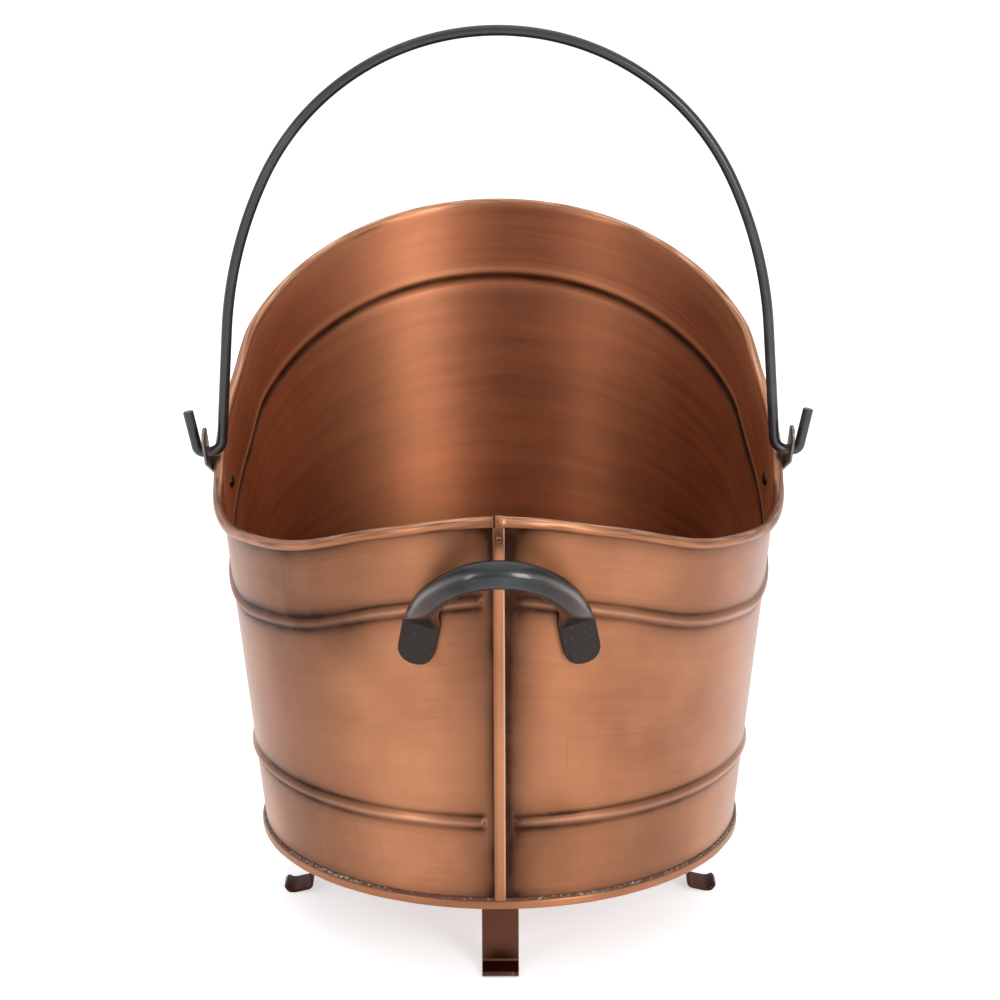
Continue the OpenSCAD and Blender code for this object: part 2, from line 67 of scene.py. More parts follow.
# Softboxes: place, width, height and power
SOFTBOXES = {
    "Left softbox": ((-1.25, -1.56, 0.8), 0.3, 0.9, 4.5),
    "Right softbox": ((1.0, -1.73, 0.85), 0.75, 0.9, 16),
    "Overhead softbox": ((0, 0.3, 2.6), 3.2, 3.2, 20),
}
# Where the lamps aim, and where the camera stands, what it looks at and its roll
LAMP_AIM = Vector((0, 0, 0.2))
CAMERA_AT = Vector((0, -1.5506, 0.6865))
CAMERA_AIM = Vector((0, 0, 0.2436))
CAMERA_ROLL = math.radians(-0.25)


def srgb(text):
    """Linear colour of an sRGB hex value."""
    channels = [int(text[i : i + 2], 16) / 255 for i in (1, 3, 5)]
    return tuple(c / 12.92 if c <= 0.04045 else ((c + 0.055) / 1.055) ** 2.4 for c in channels)


def length(name, description, default):
    """Size given in millimetres."""
    kind = {"unit": "LENGTH", "subtype": "DISTANCE", "precision": 5}
    return FloatProperty(name=name, description=description, default=default * MM, **kind)


def angle(name, description, default):
    """Angle given in degrees."""
    kind = {"unit": "ROTATION", "subtype": "ANGLE"}
    return FloatProperty(name=name, description=description, default=math.radians(default), **kind)


def colour(name, description, default):
    """Colour given as an sRGB hex value."""
    kind = {"subtype": "COLOR", "size": 3, "min": 0, "max": 1}
    return FloatVectorProperty(name=name, description=description, default=srgb(default), **kind)


class BucketSizes(bpy.types.PropertyGroup):
    """Sizes of the sheet-metal bucket."""

    foot_h: length("Foot height", "Height of the base above the floor", 48)
    wall_r: length("Wall radius", "Outer radius of the wall at the base", 139.8)
    wall_flare: angle("Wall flare", "Angle by which the wall leans outward", 6)
    sheet_t: length("Sheet", "Thickness of the wall sheet", 0.9)
    rim_front_h: length("Rim front", "Height of the rim above the base at the front", 231)
    rim_side_h: length("Rim side", "Height of the rim above the base at its lowest", 196)
    rim_back_h: length("Rim back", "Height of the rim above the base at the back", 340)
    roll_r: length("Roll radius", "Radius of the rolled edge", 3)
    roll_turn: angle("Roll turn", "Turn of the sheet round the rim wire", 305)
    bead_drop: length("Upper bead", "Distance of the upper bead below the rim", 46)
    bead_low_h: length("Lower bead", "Height of the lower bead above the base", 53)
    bead_w: length("Bead width", "Width of a bead", 8)
    bead_proud: length("Bead height", "How far a bead stands out of the wall", 2)
    seam_w: length("Seam width", "Width of the strip over the seam", 6.4)
    seam_t: length("Seam thickness", "Thickness of the strip over the seam", 1.8)
    base_t: length("Base", "Thickness of the base sheet", 1)
    hem_reach: length("Hem reach", "How far the hem of the base stands out of the wall", 2.7)
    hem_h: length("Hem height", "Height of the hem of the base", 5)


class FootSizes(bpy.types.PropertyGroup):
    """Sizes of the bent strap feet."""

    radius: length("Radius", "Distance of the upright part from the middle of the base", 115)
    width: length("Width", "Width of the strap", 20.8)
    thickness: length("Thickness", "Thickness of the strap", 2)
    flange: length("Flange", "Length of the flange under the base", 26)
    toe: length("Toe", "Length of the sloping toe", 10)
    toe_slope: angle("Toe slope", "Angle by which the toe slopes down", 13)


class EarSizes(bpy.types.PropertyGroup):
    """Sizes of the strap ears that hold the bail."""

    turn: angle("Turn", "Angle from the front at which an ear is riveted on", 98.5)
    drop: length("Drop", "Distance of an ear's rivet below the rim straight above it", 24)
    tilt: angle("Tilt", "Tilt of an ear, nearly square to the climbing rim", 32)
    width: length("Width", "Width of an ear strap", 12)
    thickness: length("Thickness", "Thickness of an ear strap", 1.6)
    gap: length("Gap", "Gap between the rolled rim and the upper part of an ear", 2.3)
    axis_rise: length("Axis", "Height of the bail axis above the rim, along an ear", 7.6)
    bend_drop: length("Bend", "Depth of an ear's bend below the bail axis", 4.6)
    lean: angle("Lean", "Lean of the middle part of an ear", 25.5)
    nod: angle("Nod", "Lean of the upper part of an ear towards the bucket", 8)
    tip: length("Tip", "Length of an ear above the bail axis", 17.8)
    foot: length("Foot", "Length of an ear's foot below its rivet", 6.5)


class BailSizes(bpy.types.PropertyGroup):
    """Sizes of the bail."""

    wire: length("Wire", "Diameter of the bail wire", 6.2)
    rise: length("Rise", "Height of the bow above the bail axis", 244.3)
    leg_lean: angle("Leg lean", "Inward lean of the legs", 4)
    shoulder_r: length("Shoulders", "Bend radius of the shoulders", 240)
    leg_bend_r: length("Leg bend", "Bend radius at the foot of a leg", 8)
    hook_bend_r: length("Hook bend", "Bend radius of the hook", 4.2)
    hook_h: length("Hook height", "Height of the hook above the bail axis", 24.5)
    hook_lean: angle("Hook lean", "Outward lean of the hook", 12)
    play: length("Play", "Radial play of the wire in its ear", 0.4)


class GripSizes(bpy.types.PropertyGroup):
    """Sizes of the forged tipping handle."""

    thick: length("Grip", "Diameter of the grip", 15.5)
    span: length("Span", "Distance between the two legs", 82.6)
    foot_h: length("Crease height", "Height of the crease above a pad", 172.3)
    arch: length("Arch", "Length of the arch from crease to crown", 53)
    tilt: angle("Tilt", "Angle of the arch out of the upright", 44)
    pad_w: length("Pad width", "Width of a pad", 20.3)
    pad_len: length("Pad length", "Length of a pad", 24)
    pad_t: length("Pad thickness", "Thickness of a pad", 5)
    pad_splay: angle("Pad splay", "Outward splay of the pads", 13)
    rivet: length("Rivet", "Diameter of the rivets and screws", 4)
    pair_pitch: length("Pair pitch", "Distance between the two fasteners of a pair", 9.6)


class BucketColours(bpy.types.PropertyGroup):
    """Colours of the finishes."""

    copper_bright: colour("Bright copper", "Brushed copper where the patina is rubbed off", "#C6865D")
    copper_deep: colour("Deep copper", "Brushed copper under its brown film", "#915636")
    copper_inside: colour("Inside copper", "Copper inside the bucket, which is brushed less", "#994B2A")
    # Also the colour of the painted highlights along the rim, on the bead crests and on the strip's edge
    copper_sheen_and_polish: colour("Rubbed copper", "Edges and crests that handling has rubbed bright", "#EABFA6")
    # Also the colour of the painted shade under the rim, beside the strip, along the beads and on the feet,
    # and of the darker painted reflection bands
    patina: colour("Patina", "Dark film left in corners and along beads", "#3F2214")
    foot_brown: colour("Foot brown", "Aged copper of the feet", "#6A3A22")
    solder: colour("Solder", "Tin that shows on the hem", "#A9A69B")
    iron: colour("Iron", "Black lacquered wire", "#1F1B1B")
    gunmetal: colour("Gunmetal", "Blued forged grip", "#373B3D")
    verdigris: colour("Verdigris", "Specks on the pads", "#3A5558")
    steel: colour("Steel", "Ears and fasteners", "#8E8983")
    floor: colour("Floor", "Pale floor", "#F4F4F4")


def bucket():
    return bpy.context.scene.log_bucket_sizes


def bail_sizes():
    return bpy.context.scene.log_bucket_bail


def ear_sizes():
    return bpy.context.scene.log_bucket_ears


def grip_sizes():
    return bpy.context.scene.log_bucket_grip


def colours():
    return bpy.context.scene.log_bucket_colours


# Shape of the wall

# Rise of the rim from its lowest point, as pairs of angle from the front and share of the rise
FRONT_SHARES = [(0, 1), (22, 0.72), (42, 0.26), (58, 0.08), (72, 0)]
BACK_SHARES = [(90, 0.063), (97, 0.18), (104, 0.288), (112, 0.42)]
BACK_SHARES += [(120, 0.59), (140, 0.818), (160, 0.955), (180, 1)]


def wrapped(degrees):
    """The same angle from the front, between -180 and 180 degrees."""
    return (degrees + 180) % 360 - 180


def rim_h(degrees):
    """Height of the middle of the rolled edge above the base, on a smooth curve through the knots."""
    b = bucket()
    knots = [(a, b.rim_side_h + s * (b.rim_front_h - b.rim_side_h)) for a, s in FRONT_SHARES]
    knots += [(a, b.rim_side_h + s * (b.rim_back_h - b.rim_side_h)) for a, s in BACK_SHARES]
    turn = abs(wrapped(degrees))
    i = max(k for k in range(len(knots) - 1) if knots[k][0] <= turn)

    def slope(k):
        if k in (0, len(knots) - 1):
            return 0
        return (knots[k + 1][1] - knots[k - 1][1]) / (knots[k + 1][0] - knots[k - 1][0])

    span = knots[i + 1][0] - knots[i][0]
    s = (turn - knots[i][0]) / span
    return (
        knots[i][1] * (2 * s**3 - 3 * s**2 + 1)
        + slope(i) * span * (s**3 - 2 * s**2 + s)
        + knots[i + 1][1] * (3 * s**2 - 2 * s**3)
        + slope(i + 1) * span * (s**3 - s**2)
    )


def wall_r(height):
    """Radius of the wall's outer face at a height above the base."""
    b = bucket()
    return b.wall_r + height * math.tan(b.wall_flare)


def on_ring(radius, degrees, height):
    """Point at a radius and a height above the base, at an angle from the front."""
    a = math.radians(degrees)
    return Vector((radius * math.sin(a), -radius * math.cos(a), bucket().foot_h + height))


def smooth_step(low, high, x):
    """Zero at low and one at high, with a smooth step between them; low may be the larger."""
    t = min(max((x - low) / (high - low), 0), 1)
    return t * t * (3 - 2 * t)


def bell(distance, reach):
    """One at no distance and falling off on both sides."""
    return math.exp(-((distance / reach) ** 2))


def decay(distance, reach):
    """One at no distance and falling off steeply at first."""
    return math.exp(-distance / reach)


def hump(turn, wide):
    """One at turn 0 and falling off on both sides over wide degrees, also past the back."""
    return bell(wrapped(turn), wide)


def bead_out(y, middle, from_seam):
    """How far the wall stands out at height y: a bead fades out before the seam."""
    b = bucket()
    t = (y - middle) / b.bead_w + 0.5
    if not 0 < t < 1:
        return 0
    return b.bead_proud * (1 - math.cos(2 * math.pi * t)) / 2 * smooth_step(*BEAD_END, from_seam)


def spread(low, high, steps, tight=0.6):
    """Values from low to just before high that lie closer together near both ends."""
    shares = [(1 - tight) * k / steps + tight * (1 - math.cos(math.pi * k / steps)) / 2 for k in range(steps)]
    return [low + (high - low) * share for share in shares]


# Making meshes


def mesh_piece(name, points, faces, uvs=None, marks=None, sharp=40):
    """New mesh object with smooth faces, its edges sharper than the given angle kept."""
    mesh = bpy.data.meshes.new(name)
    mesh.from_pydata([tuple(p) for p in points], [], faces)
    if uvs:
        layer = mesh.uv_layers.new(name="sheet")
        layer.data.foreach_set("uv", [c for face in uvs for uv in face for c in uv])
    for key, values in (marks or {}).items():
        mesh.attributes.new(key, "FLOAT", "POINT").data.foreach_set("value", values)
    piece = bpy.data.objects.new(name, mesh)
    bpy.context.scene.collection.objects.link(piece)
    work = bmesh.new()
    work.from_mesh(mesh)
    bmesh.ops.remove_doubles(work, verts=work.verts, dist=WELD)
    bmesh.ops.dissolve_degenerate(work, edges=work.edges, dist=WELD)
    bmesh.ops.recalc_face_normals(work, faces=work.faces)
    work.to_mesh(mesh)
    work.free()
    mesh.shade_smooth()
    mesh.set_sharp_from_angle(angle=math.radians(sharp))
    if not mesh.polygons:
        raise RuntimeError(f"{name} has no faces")
    return piece


def loft(rings, around, along, closed=False, caps=False, open_rings=False):
    """Points, faces and UVs of a skin over rings; around and along are UV distances of points and rings."""
    n, m = len(rings), len(rings[0])
    faces, uvs = [], []
    for i in range(n if closed else n - 1):
        u0, u1 = along[i], along[i + 1]
        k = (i + 1) % n
        for j in range(m - 1 if open_rings else m):
            q = (j + 1) % m
            v0, v1 = around[j], around[j + 1]
            faces.append((i * m + j, k * m + j, k * m + q, i * m + q))
            uvs.append(((u0, v0), (u1, v0), (u1, v1), (u0, v1)))
    if caps:
        for i in (0, n - 1):
            faces.append(tuple(i * m + j for j in range(m)))
            uvs.append(tuple((along[i], around[j]) for j in range(m)))
    return [p for ring in rings for p in ring], faces, uvs


def distances(points, closed=True):
    """Length along points, from the first one and back to it if they close."""
    total, values = 0.0, [0.0]
    for a, b in zip(points, points[1:] + points[:1] if closed else points[1:]):
        total += (Vector(b) - Vector(a)).length
        values.append(total)
    return values


def rounded_path(points, radius, steps=8):
    """Path in a plane through points, with its corners rounded."""
    path = [Vector(points[0])]
    for p, q, s in zip(points, points[1:], points[2:]):
        p, q, s = Vector(p), Vector(q), Vector(s)
        u, v = (p - q).normalized(), (s - q).normalized()
        half = u.angle(v) / 2
        turn = math.pi / 2 - half
        mid = (u + v).normalized()
        side = 1 if u.x * v.y - u.y * v.x > 0 else -1
        centre = q + mid * radius / math.sin(half)
        for k in range(-steps, steps + 1, 2):
            c = -side * k / steps * turn
            x, y = math.cos(c), math.sin(c)
            path.append(centre - radius * Vector((mid.x * x - mid.y * y, mid.x * y + mid.y * x)))
    path.append(Vector(points[-1]))
    return path


def finer(path, step):
    """The path with points added so that none is further than step from the next."""
    result = [path[0]]
    for a, b in zip(path, path[1:]):
        count = max(1, math.ceil((b - a).length / step))
        result += [a.lerp(b, k / count) for k in range(1, count + 1)]
    return result


def strap_rings(path, thickness, half_width, corner=0.35 * MM):
    """Rings of a strap along a path of (out, up) points, with rounded edges.

    half_width gives half the strap's width at a distance from the path's end.
    """
    total = distances(path, closed=False)
    rings = []
    for i, p in enumerate(path):
        along = (path[min(i + 1, len(path) - 1)] - path[max(i - 1, 0)]).normalized()
        normal = Vector((-along.y, along.x))
        half = half_width(total[-1] - total[i])
        ring = []
        for k, (sx, sy) in enumerate(((1, 1), (-1, 1), (-1, -1), (1, -1))):
            for t in range(4):
                a = math.radians(90 * k + 30 * t)
                y = sx * (half - corner) + corner * math.cos(a)
                z = sy * (thickness / 2 - corner) + corner * math.sin(a)
                ring.append((p.x + normal.x * z, y, p.y + normal.y * z))
        rings.append(ring)
    return rings


def strap_piece(name, path, thickness, half_width, place):
    """Strap built with its path in the plane of +X and +Z and then placed."""
    rings = strap_rings(path, thickness, half_width)
    rings = [[place @ Vector(p) for p in ring] for ring in rings]
    along = distances([p.to_3d() for p in path], closed=False)
    return mesh_piece(name, *loft(rings, distances(rings[0]), along, caps=True))


def wire_piece(name, path, radius, sides=28):
    """Round wire along a path in the XZ plane, with slightly broken end edges."""
    broken, end_r = 0.4 * MM, 0.86 * radius
    last = len(path) - 1
    ways = [(path[min(i + 1, last)] - path[max(i - 1, 0)]).normalized() for i in range(last + 1)]
    stations = [(p, way, radius) for p, way in zip(path, ways)]
    start = [(path[0], ways[0], end_r), (path[0] + broken * ways[0], ways[0], radius)]
    end = [(path[last] - broken * ways[last], ways[last], radius), (path[last], ways[last], end_r)]
    rings = []
    for p, way, r in start + stations[1:-1] + end:
        turns = [2 * math.pi * k / sides for k in range(sides)]
        aside = [(r * math.cos(t), r * math.sin(t)) for t in turns]
        rings.append([(p.x - way.y * across, y, p.y + way.x * across) for across, y in aside])
    along = distances([p.to_3d() for p in path], closed=False)
    around = [2 * math.pi * radius * k / sides for k in range(sides + 1)]
    return mesh_piece(name, *loft(rings, around, [along[0], *along, along[-1]], caps=True))


def dome_profile(width, height, steps=8):
    """Half section of a dome, from its edge to its top."""
    turns = [math.pi / 2 * k / steps for k in range(steps + 1)]
    return [(width / 2 * math.cos(t), height * math.sin(t)) for t in turns]


# Width and height of a fastener's domed head, as shares of its shank's width
RIVET_HEAD = (1.9, 0.4)
SCREW_HEAD = (2, 0.6)


def turned_fastener(low, high, head, both=True, sides=24):
    """Points, faces and UVs of a fastener along Z, headed at its low end and, if both, at its high end."""
    width = grip_sizes().rivet
    head_w, head_h = head[0] * width, head[1] * width
    profile = [(r, low - h) for r, h in reversed(dome_profile(head_w, head_h))]
    profile += [(width / 2, low), (width / 2, high)]
    profile += [(r, high + h) for r, h in dome_profile(head_w, head_h)] if both else [(0, high)]
    turns = [2 * math.pi * k / sides for k in range(sides)]
    rings = [[Vector((r * math.cos(t), r * math.sin(t), z)) for r, z in profile] for t in turns]
    along = [math.pi * head_w * k / sides for k in range(sides + 1)]
    around = distances([(*p, 0) for p in profile], closed=False)
    return loft(rings, around, along, closed=True, open_rings=True)


def fasteners_piece(name, places, low, high, head, both=True, browned=1.0, rub_and_highlight=0.0):
    """One mesh with a fastener at each place, its low heads browned and its high heads rubbed bright."""
    points, faces, uvs = [], [], []
    marks = {"patina": [], "polish": []}
    for place in places:
        one, skin, flat = turned_fastener(low, high, head, both)
        faces += [tuple(i + len(points) for i in face) for face in skin]
        points += [place @ p for p in one]
        uvs += flat
        marks["patina"] += [browned if p.z <= low else 0.0 for p in one]
        marks["polish"] += [rub_and_highlight if p.z >= high else 0.0 for p in one]
    return mesh_piece(name, points, faces, uvs, marks)


def settle(piece, body, slot, material, *nodes):
    """Gives a piece its finish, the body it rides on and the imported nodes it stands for."""
    piece.data.materials.clear()
    piece.data.materials.append(material)
    if nodes:
        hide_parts(*nodes)
    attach(piece, body)
    return piece


def wall_frame(degrees, height):
    """Place on the outer face of the wall: X along the wall, Y up it, Z out of it."""
    b = bucket()
    return (
        Matrix.Rotation(math.radians(degrees), 4, "Z")
        @ Matrix.Translation((0, -wall_r(height), b.foot_h + height))
        @ Matrix.Rotation(math.pi / 2 + b.wall_flare, 4, "X")
    )


# Finishes


def add(tree, kind, inputs=None, output=0, **settings):
    """Adds a node with its settings, and with its inputs set or linked, and gives one of its outputs."""
    made = tree.nodes.new("ShaderNode" + kind)
    for key, value in settings.items():
        setattr(made, key, value)
    for key, value in (inputs or {}).items():
        if isinstance(value, bpy.types.NodeSocket):
            tree.links.new(value, made.inputs[key])
        else:
            made.inputs[key].default_value = value
    return made.outputs[output]


def blank(name):
    """Material with only its output, and that output's tree and input."""
    material = bpy.data.materials.new(name)
    material.use_nodes = True
    tree = material.node_tree
    tree.nodes.clear()
    return material, tree, tree.nodes.new("ShaderNodeOutputMaterial").inputs[0]


def rgba(value, level=1.0):
    """Colour with its alpha, made lighter or darker by a level."""
    return (*(Vector(value) * level), 1.0)


def brushed_copper(name, deep, bright, brown):
    """Copper sheet, brushed along its length and aged: bright lines over a brown film, dark in corners with
    patina and painted shade, and pale where polish and painted highlights lie.
    """
    c = colours()
    material, tree, surface = blank(name)
    sheet = add(tree, "UVMap", uv_map="sheet")
    place = add(tree, "TexCoord", None, "Object")
    inside = add(tree, "Attribute", None, "Fac", attribute_name="inside")
    polish = add(tree, "Attribute", None, "Fac", attribute_name="polish")
    mark = add(tree, "Attribute", None, "Fac", attribute_name="patina")
    outside = add(tree, "Math", {0: 1.0, 1: inside}, operation="SUBTRACT")

    # Marks by length and width. The brush's lines are about 0.2 mm apart and are drawn at 0.5 mm, so that
    # they show in a picture. Inside, its strokes left streaks. Hairs are scratches across the brushing.
    brushing = {}
    for key, long, wide, detail, coarse in (
        ("lines", 45.45 * MM, 0.5 * MM, 3, 0.65),
        ("strokes", 200 * MM, 4 * MM, 2, 0.5),
        ("streaks", 125 * MM, 3.846 * MM, 4, 0.62),
        ("hairs", 1.111 * MM, 71.43 * MM, 1, 0.5),
    ):
        at = add(tree, "Mapping", {0: sheet, "Scale": (1 / long, 1 / wide, 1)})
        grain = {"Vector": at, "Scale": 1, "Detail": detail, "Roughness": coarse}
        brushing[key] = add(tree, "TexNoise", grain, noise_dimensions="2D")
    lines = brushing["lines"]
    clouds = add(tree, "TexNoise", {"Vector": place, "Scale": 1 / (83.33 * MM), "Detail": 3})
    mottle = add(tree, "TexNoise", {"Vector": place, "Scale": 1 / (15.385 * MM), "Detail": 4})

    # Film of an even tone, which each pattern lifts and lowers by its share
    shares = ((lines, 0.5), (brushing["strokes"], 0.18), (clouds, 1.6), (mottle, 0.3))
    even_tone = 0.55
    tone = even_tone - sum(share for _, share in shares) / 2
    for pattern, share in shares:
        tone = add(tree, "Math", {0: pattern, 1: share, 2: tone}, operation="MULTIPLY_ADD")
    tone = add(tree, "Clamp", {0: tone})
    film = add(tree, "Mix", {0: tone, 6: rgba(deep), 7: rgba(bright)}, 2, data_type="RGBA")

    # Inside, the streaks count for more than the tone
    streaks = add(tree, "MapRange", {0: brushing["streaks"], "From Min": 0.36, "From Max": 0.64})
    streaked = 0.0
    for pattern, share in ((tone, 0.6), (streaks, 0.42)):
        streaked = add(tree, "Math", {0: pattern, 1: share, 2: streaked}, operation="MULTIPLY_ADD")
    inner = {0: streaked, 6: rgba(c.copper_inside, 0.4), 7: rgba(c.copper_inside, 1.3)}
    inner = add(tree, "Mix", inner, 2, data_type="RGBA")

    # Light polish marks, rubbing and painted highlights alike, bring out warm copper, and strong ones
    # outside, as the painted highlight along the rim, pale pinkish copper
    hard = add(tree, "Math", {0: polish, 1: 3.0}, operation="POWER")
    hard = add(tree, "Math", {0: hard, 1: outside}, operation="MULTIPLY")
    rub_and_highlight = {0: hard, 6: rgba(c.copper_bright, 1.2), 7: rgba(c.copper_sheen_and_polish)}
    rub_and_highlight = add(tree, "Mix", rub_and_highlight, 2, data_type="RGBA")

    uneven = {0: mottle, "From Min": 0.3, "From Max": 0.7, "To Min": 0.85, "To Max": 1.1}
    uneven = add(tree, "MapRange", uneven)
    dark = add(tree, "Math", {0: mark, 1: uneven}, operation="MULTIPLY", use_clamp=True)

    # Pin-head spots where the film has taken a drop, one in a few of the cells, which are 12 mm wide
    cells = add(tree, "TexVoronoi", {"Vector": place, "Scale": 1 / (11.765 * MM)}).node
    spot = {0: cells.outputs["Distance"], "From Min": 0.03, "From Max": 0.09, "To Min": 1, "To Max": 0}
    spot = add(tree, "MapRange", spot)
    chance = add(tree, "SeparateColor", {0: cells.outputs["Color"]})
    rare = add(tree, "Math", {0: chance, 1: 0.93}, operation="GREATER_THAN")
    spot = add(tree, "Math", {0: spot, 1: rare}, operation="MULTIPLY")

    hair = add(tree, "MapRange", {0: brushing["hairs"], "From Min": 0.7, "From Max": 0.78})
    hair = add(tree, "Math", {0: hair, 1: outside}, operation="MULTIPLY")
    scratched = add(tree, "MapRange", {0: clouds, "From Min": 0.5, "From Max": 0.62, "To Max": 0.3})

    # Each layer on the film: where it lies, how much of it shows there, and its colour
    for cover, shown, tint in (
        (inside, 0.75, inner),
        (polish, 0.6, rub_and_highlight),
        (dark, 1.0, rgba(brown)),
        (spot, 0.55, rgba(brown)),
        (hair, scratched, rgba(brown)),
    ):
        share = add(tree, "Math", {0: cover, 1: shown}, operation="MULTIPLY")
        film = add(tree, "Mix", {0: share, 6: film, 7: tint}, 2, data_type="RGBA")

    rough = 0.32
    for cover, more in ((lines, 0.14), (dark, 0.2), (inside, 0.13)):
        rough = add(tree, "Math", {0: cover, 1: more, 2: rough}, operation="MULTIPLY_ADD")
    # Thin clear lacquer, sprayed from outside, that hardly held on the dark film
    lacquer = 1.0
    for cover, less, even in ((inside, -0.22, 0.48), (dark, -0.75, 1.0)):
        share = add(tree, "Math", {0: cover, 1: less, 2: even}, operation="MULTIPLY_ADD")
        lacquer = add(tree, "Math", {0: lacquer, 1: share}, operation="MULTIPLY")
    copper = {
        "Base Color": film,
        "Metallic": 1.0,
        "Roughness": rough,
        "Anisotropic": 0.8,
        "Anisotropic Rotation": 0.25,
        "Tangent": add(tree, "Tangent", direction_type="UV_MAP", uv_map="sheet"),
        "Normal": add(tree, "Bump", {"Strength": 0.12, "Distance": 0.1 * MM, "Height": lines}),
        "Coat Weight": lacquer,
        "Coat Roughness": 0.34,
    }
    tree.links.new(add(tree, "BsdfPrincipled", copper), surface)
    return material


def tinned_hem(name):
    """Hemmed copper edge, tinned on its upper face: dull grey-white crumbs of tin on dark brown."""
    c = colours()
    material = brushed_copper(name, c.copper_deep, c.copper_bright, c.patina)
    tree = material.node_tree
    shader = next(n for n in tree.nodes if n.type == "BSDF_PRINCIPLED")
    copper = shader.inputs["Base Color"].links[0].from_socket
    place = add(tree, "TexCoord", None, "Object")
    # Crumbs of solder are 1 to 3 mm across
    crumbs = {"Vector": place, "Scale": 1 / (2.381 * MM), "Detail": 3, "Roughness": 0.6}
    shown = add(tree, "MapRange", {0: add(tree, "TexNoise", crumbs), "From Min": 0.5, "From Max": 0.62})
    tin = add(tree, "Attribute", None, "Fac", attribute_name="tin")
    amount = add(tree, "Math", {0: tin, 1: shown}, operation="MULTIPLY", use_clamp=True)
    mixed = add(tree, "Mix", {0: amount, 6: copper, 7: rgba(c.solder)}, 2, data_type="RGBA")
    tree.links.new(mixed, shader.inputs["Base Color"])
    return material


def lacquered_wire(name):
    """Steel wire with baked black lacquer: an even satin charcoal, faintly orange-peeled and rubbed."""
    c = colours()
    material, tree, surface = blank(name)
    place = add(tree, "TexCoord", None, "Object")
    # Orange peel is about 1 mm across, and rubbed places some 25 mm
    peel = add(tree, "TexNoise", {"Vector": place, "Scale": 1 / (1.111 * MM), "Detail": 2})
    wear = add(tree, "TexNoise", {"Vector": place, "Scale": 1 / (26.316 * MM), "Detail": 4})
    worn = add(tree, "MapRange", {0: wear, "From Min": 0.5, "From Max": 0.8, "To Max": 0.12})
    lacquer = {
        "Base Color": add(tree, "Mix", {0: worn, 6: rgba(c.iron), 7: rgba(c.steel)}, 2, data_type="RGBA"),
        "Metallic": 0.2,
        "Roughness": add(tree, "MapRange", {0: wear, "To Min": 0.36, "To Max": 0.52}),
        "Normal": add(tree, "Bump", {"Strength": 0.1, "Distance": 0.1 * MM, "Height": peel}),
        "Coat Weight": 0.65,
        "Coat Roughness": 0.17,
    }
    tree.links.new(add(tree, "BsdfPrincipled", lacquer), surface)
    return material


def blued_forging(name):
    """Forged steel, blued and waxed: blue-black with soft highlights, and green-blue specks on the pads."""
    c = colours()
    material, tree, surface = blank(name)
    place = add(tree, "TexCoord", None, "Object")
    # The bluing varies over some 20 mm, and the scale pits of the forging are 1 to 2 mm across
    tone = add(tree, "TexNoise", {"Vector": place, "Scale": 1 / (22.222 * MM), "Detail": 4})
    tone = add(tree, "MapRange", {0: tone, "From Min": 0.36, "From Max": 0.66})
    pits = add(tree, "TexNoise", {"Vector": place, "Scale": 1 / (1.786 * MM), "Detail": 3})
    # Painted reflection of the copper wall, brown towards the pads, from 20 mm off the middle and fully at 42
    # mm
    across = add(tree, "SeparateXYZ", {0: place})
    across = add(tree, "Math", {0: across}, operation="ABSOLUTE")
    leg = add(tree, "MapRange", {0: across, "From Min": 20 * MM, "From Max": 42 * MM, "To Max": 0.75})
    pad = add(tree, "Attribute", None, "Fac", attribute_name="pad")
    speck = add(tree, "MapRange", {0: pits, "From Min": 0.6, "From Max": 0.75, "To Max": 0.6})
    # Painted highlight along the shoulders' outer edge
    edge = add(tree, "Attribute", None, "Fac", attribute_name="worn")
    browned_pad = rgba(Vector(c.gunmetal) * 0.5 + Vector(c.patina) * 0.35)
    # Each layer on the darkest blue: where it lies, how much of it shows there, and its colour
    tint = rgba(c.gunmetal, 0.2)
    for cover, shown, layer in (
        (tone, 1.0, rgba(c.gunmetal, 0.95)),
        (leg, 1.0, rgba(c.patina, 0.9)),
        (pad, 1.0, browned_pad),
        (speck, pad, rgba(c.verdigris)),
        (edge, 0.8, rgba(c.steel)),
    ):
        share = add(tree, "Math", {0: cover, 1: shown}, operation="MULTIPLY")
        tint = add(tree, "Mix", {0: share, 6: tint, 7: layer}, 2, data_type="RGBA")
    waxed = {
        "Base Color": tint,
        "Metallic": 0.8,
        "Roughness": add(tree, "MapRange", {0: pad, "To Min": 0.3, "To Max": 0.55}),
        "Normal": add(tree, "Bump", {"Strength": 0.12, "Distance": 0.2 * MM, "Height": pits}),
        "Coat Weight": add(tree, "MapRange", {0: pad, "To Min": 0.52, "To Max": 0.0}),
        "Coat Roughness": 0.11,
    }
    tree.links.new(add(tree, "BsdfPrincipled", waxed), surface)
    return material


def rolled_steel(name):
    """Rolled steel strip, left bare: mid grey with faint brown stains and fine lines."""
    c = colours()
    material, tree, surface = blank(name)
    place = add(tree, "TexCoord", None, "Object")
    # Stains are some 8 mm across, and the grain of the rolls is drawn at 0.8 mm, so that it shows
    stain = add(tree, "TexNoise", {"Vector": place, "Scale": 1 / (8.333 * MM), "Detail": 4})
    fine = add(tree, "TexNoise", {"Vector": place, "Scale": 1 / (0.7692 * MM), "Detail": 2})
    # Heads inside the bucket were browned together with it
    brown = add(tree, "Attribute", None, "Fac", attribute_name="patina")
    tint = rgba(c.steel, 0.35)
    for cover, shown, layer in ((stain, 1.0, rgba(c.steel, 1.3)), (brown, 0.92, rgba(c.patina, 1.5))):
        share = add(tree, "Math", {0: cover, 1: shown}, operation="MULTIPLY")
        tint = add(tree, "Mix", {0: share, 6: tint, 7: layer}, 2, data_type="RGBA")
    steel = {
        "Base Color": tint,
        "Metallic": 1.0,
        "Roughness": add(tree, "MapRange", {0: stain, "To Min": 0.3, "To Max": 0.5}),
        "Normal": add(tree, "Bump", {"Strength": 0.08, "Distance": 0.1 * MM, "Height": fine}),
    }
    tree.links.new(add(tree, "BsdfPrincipled", steel), surface)
    return material


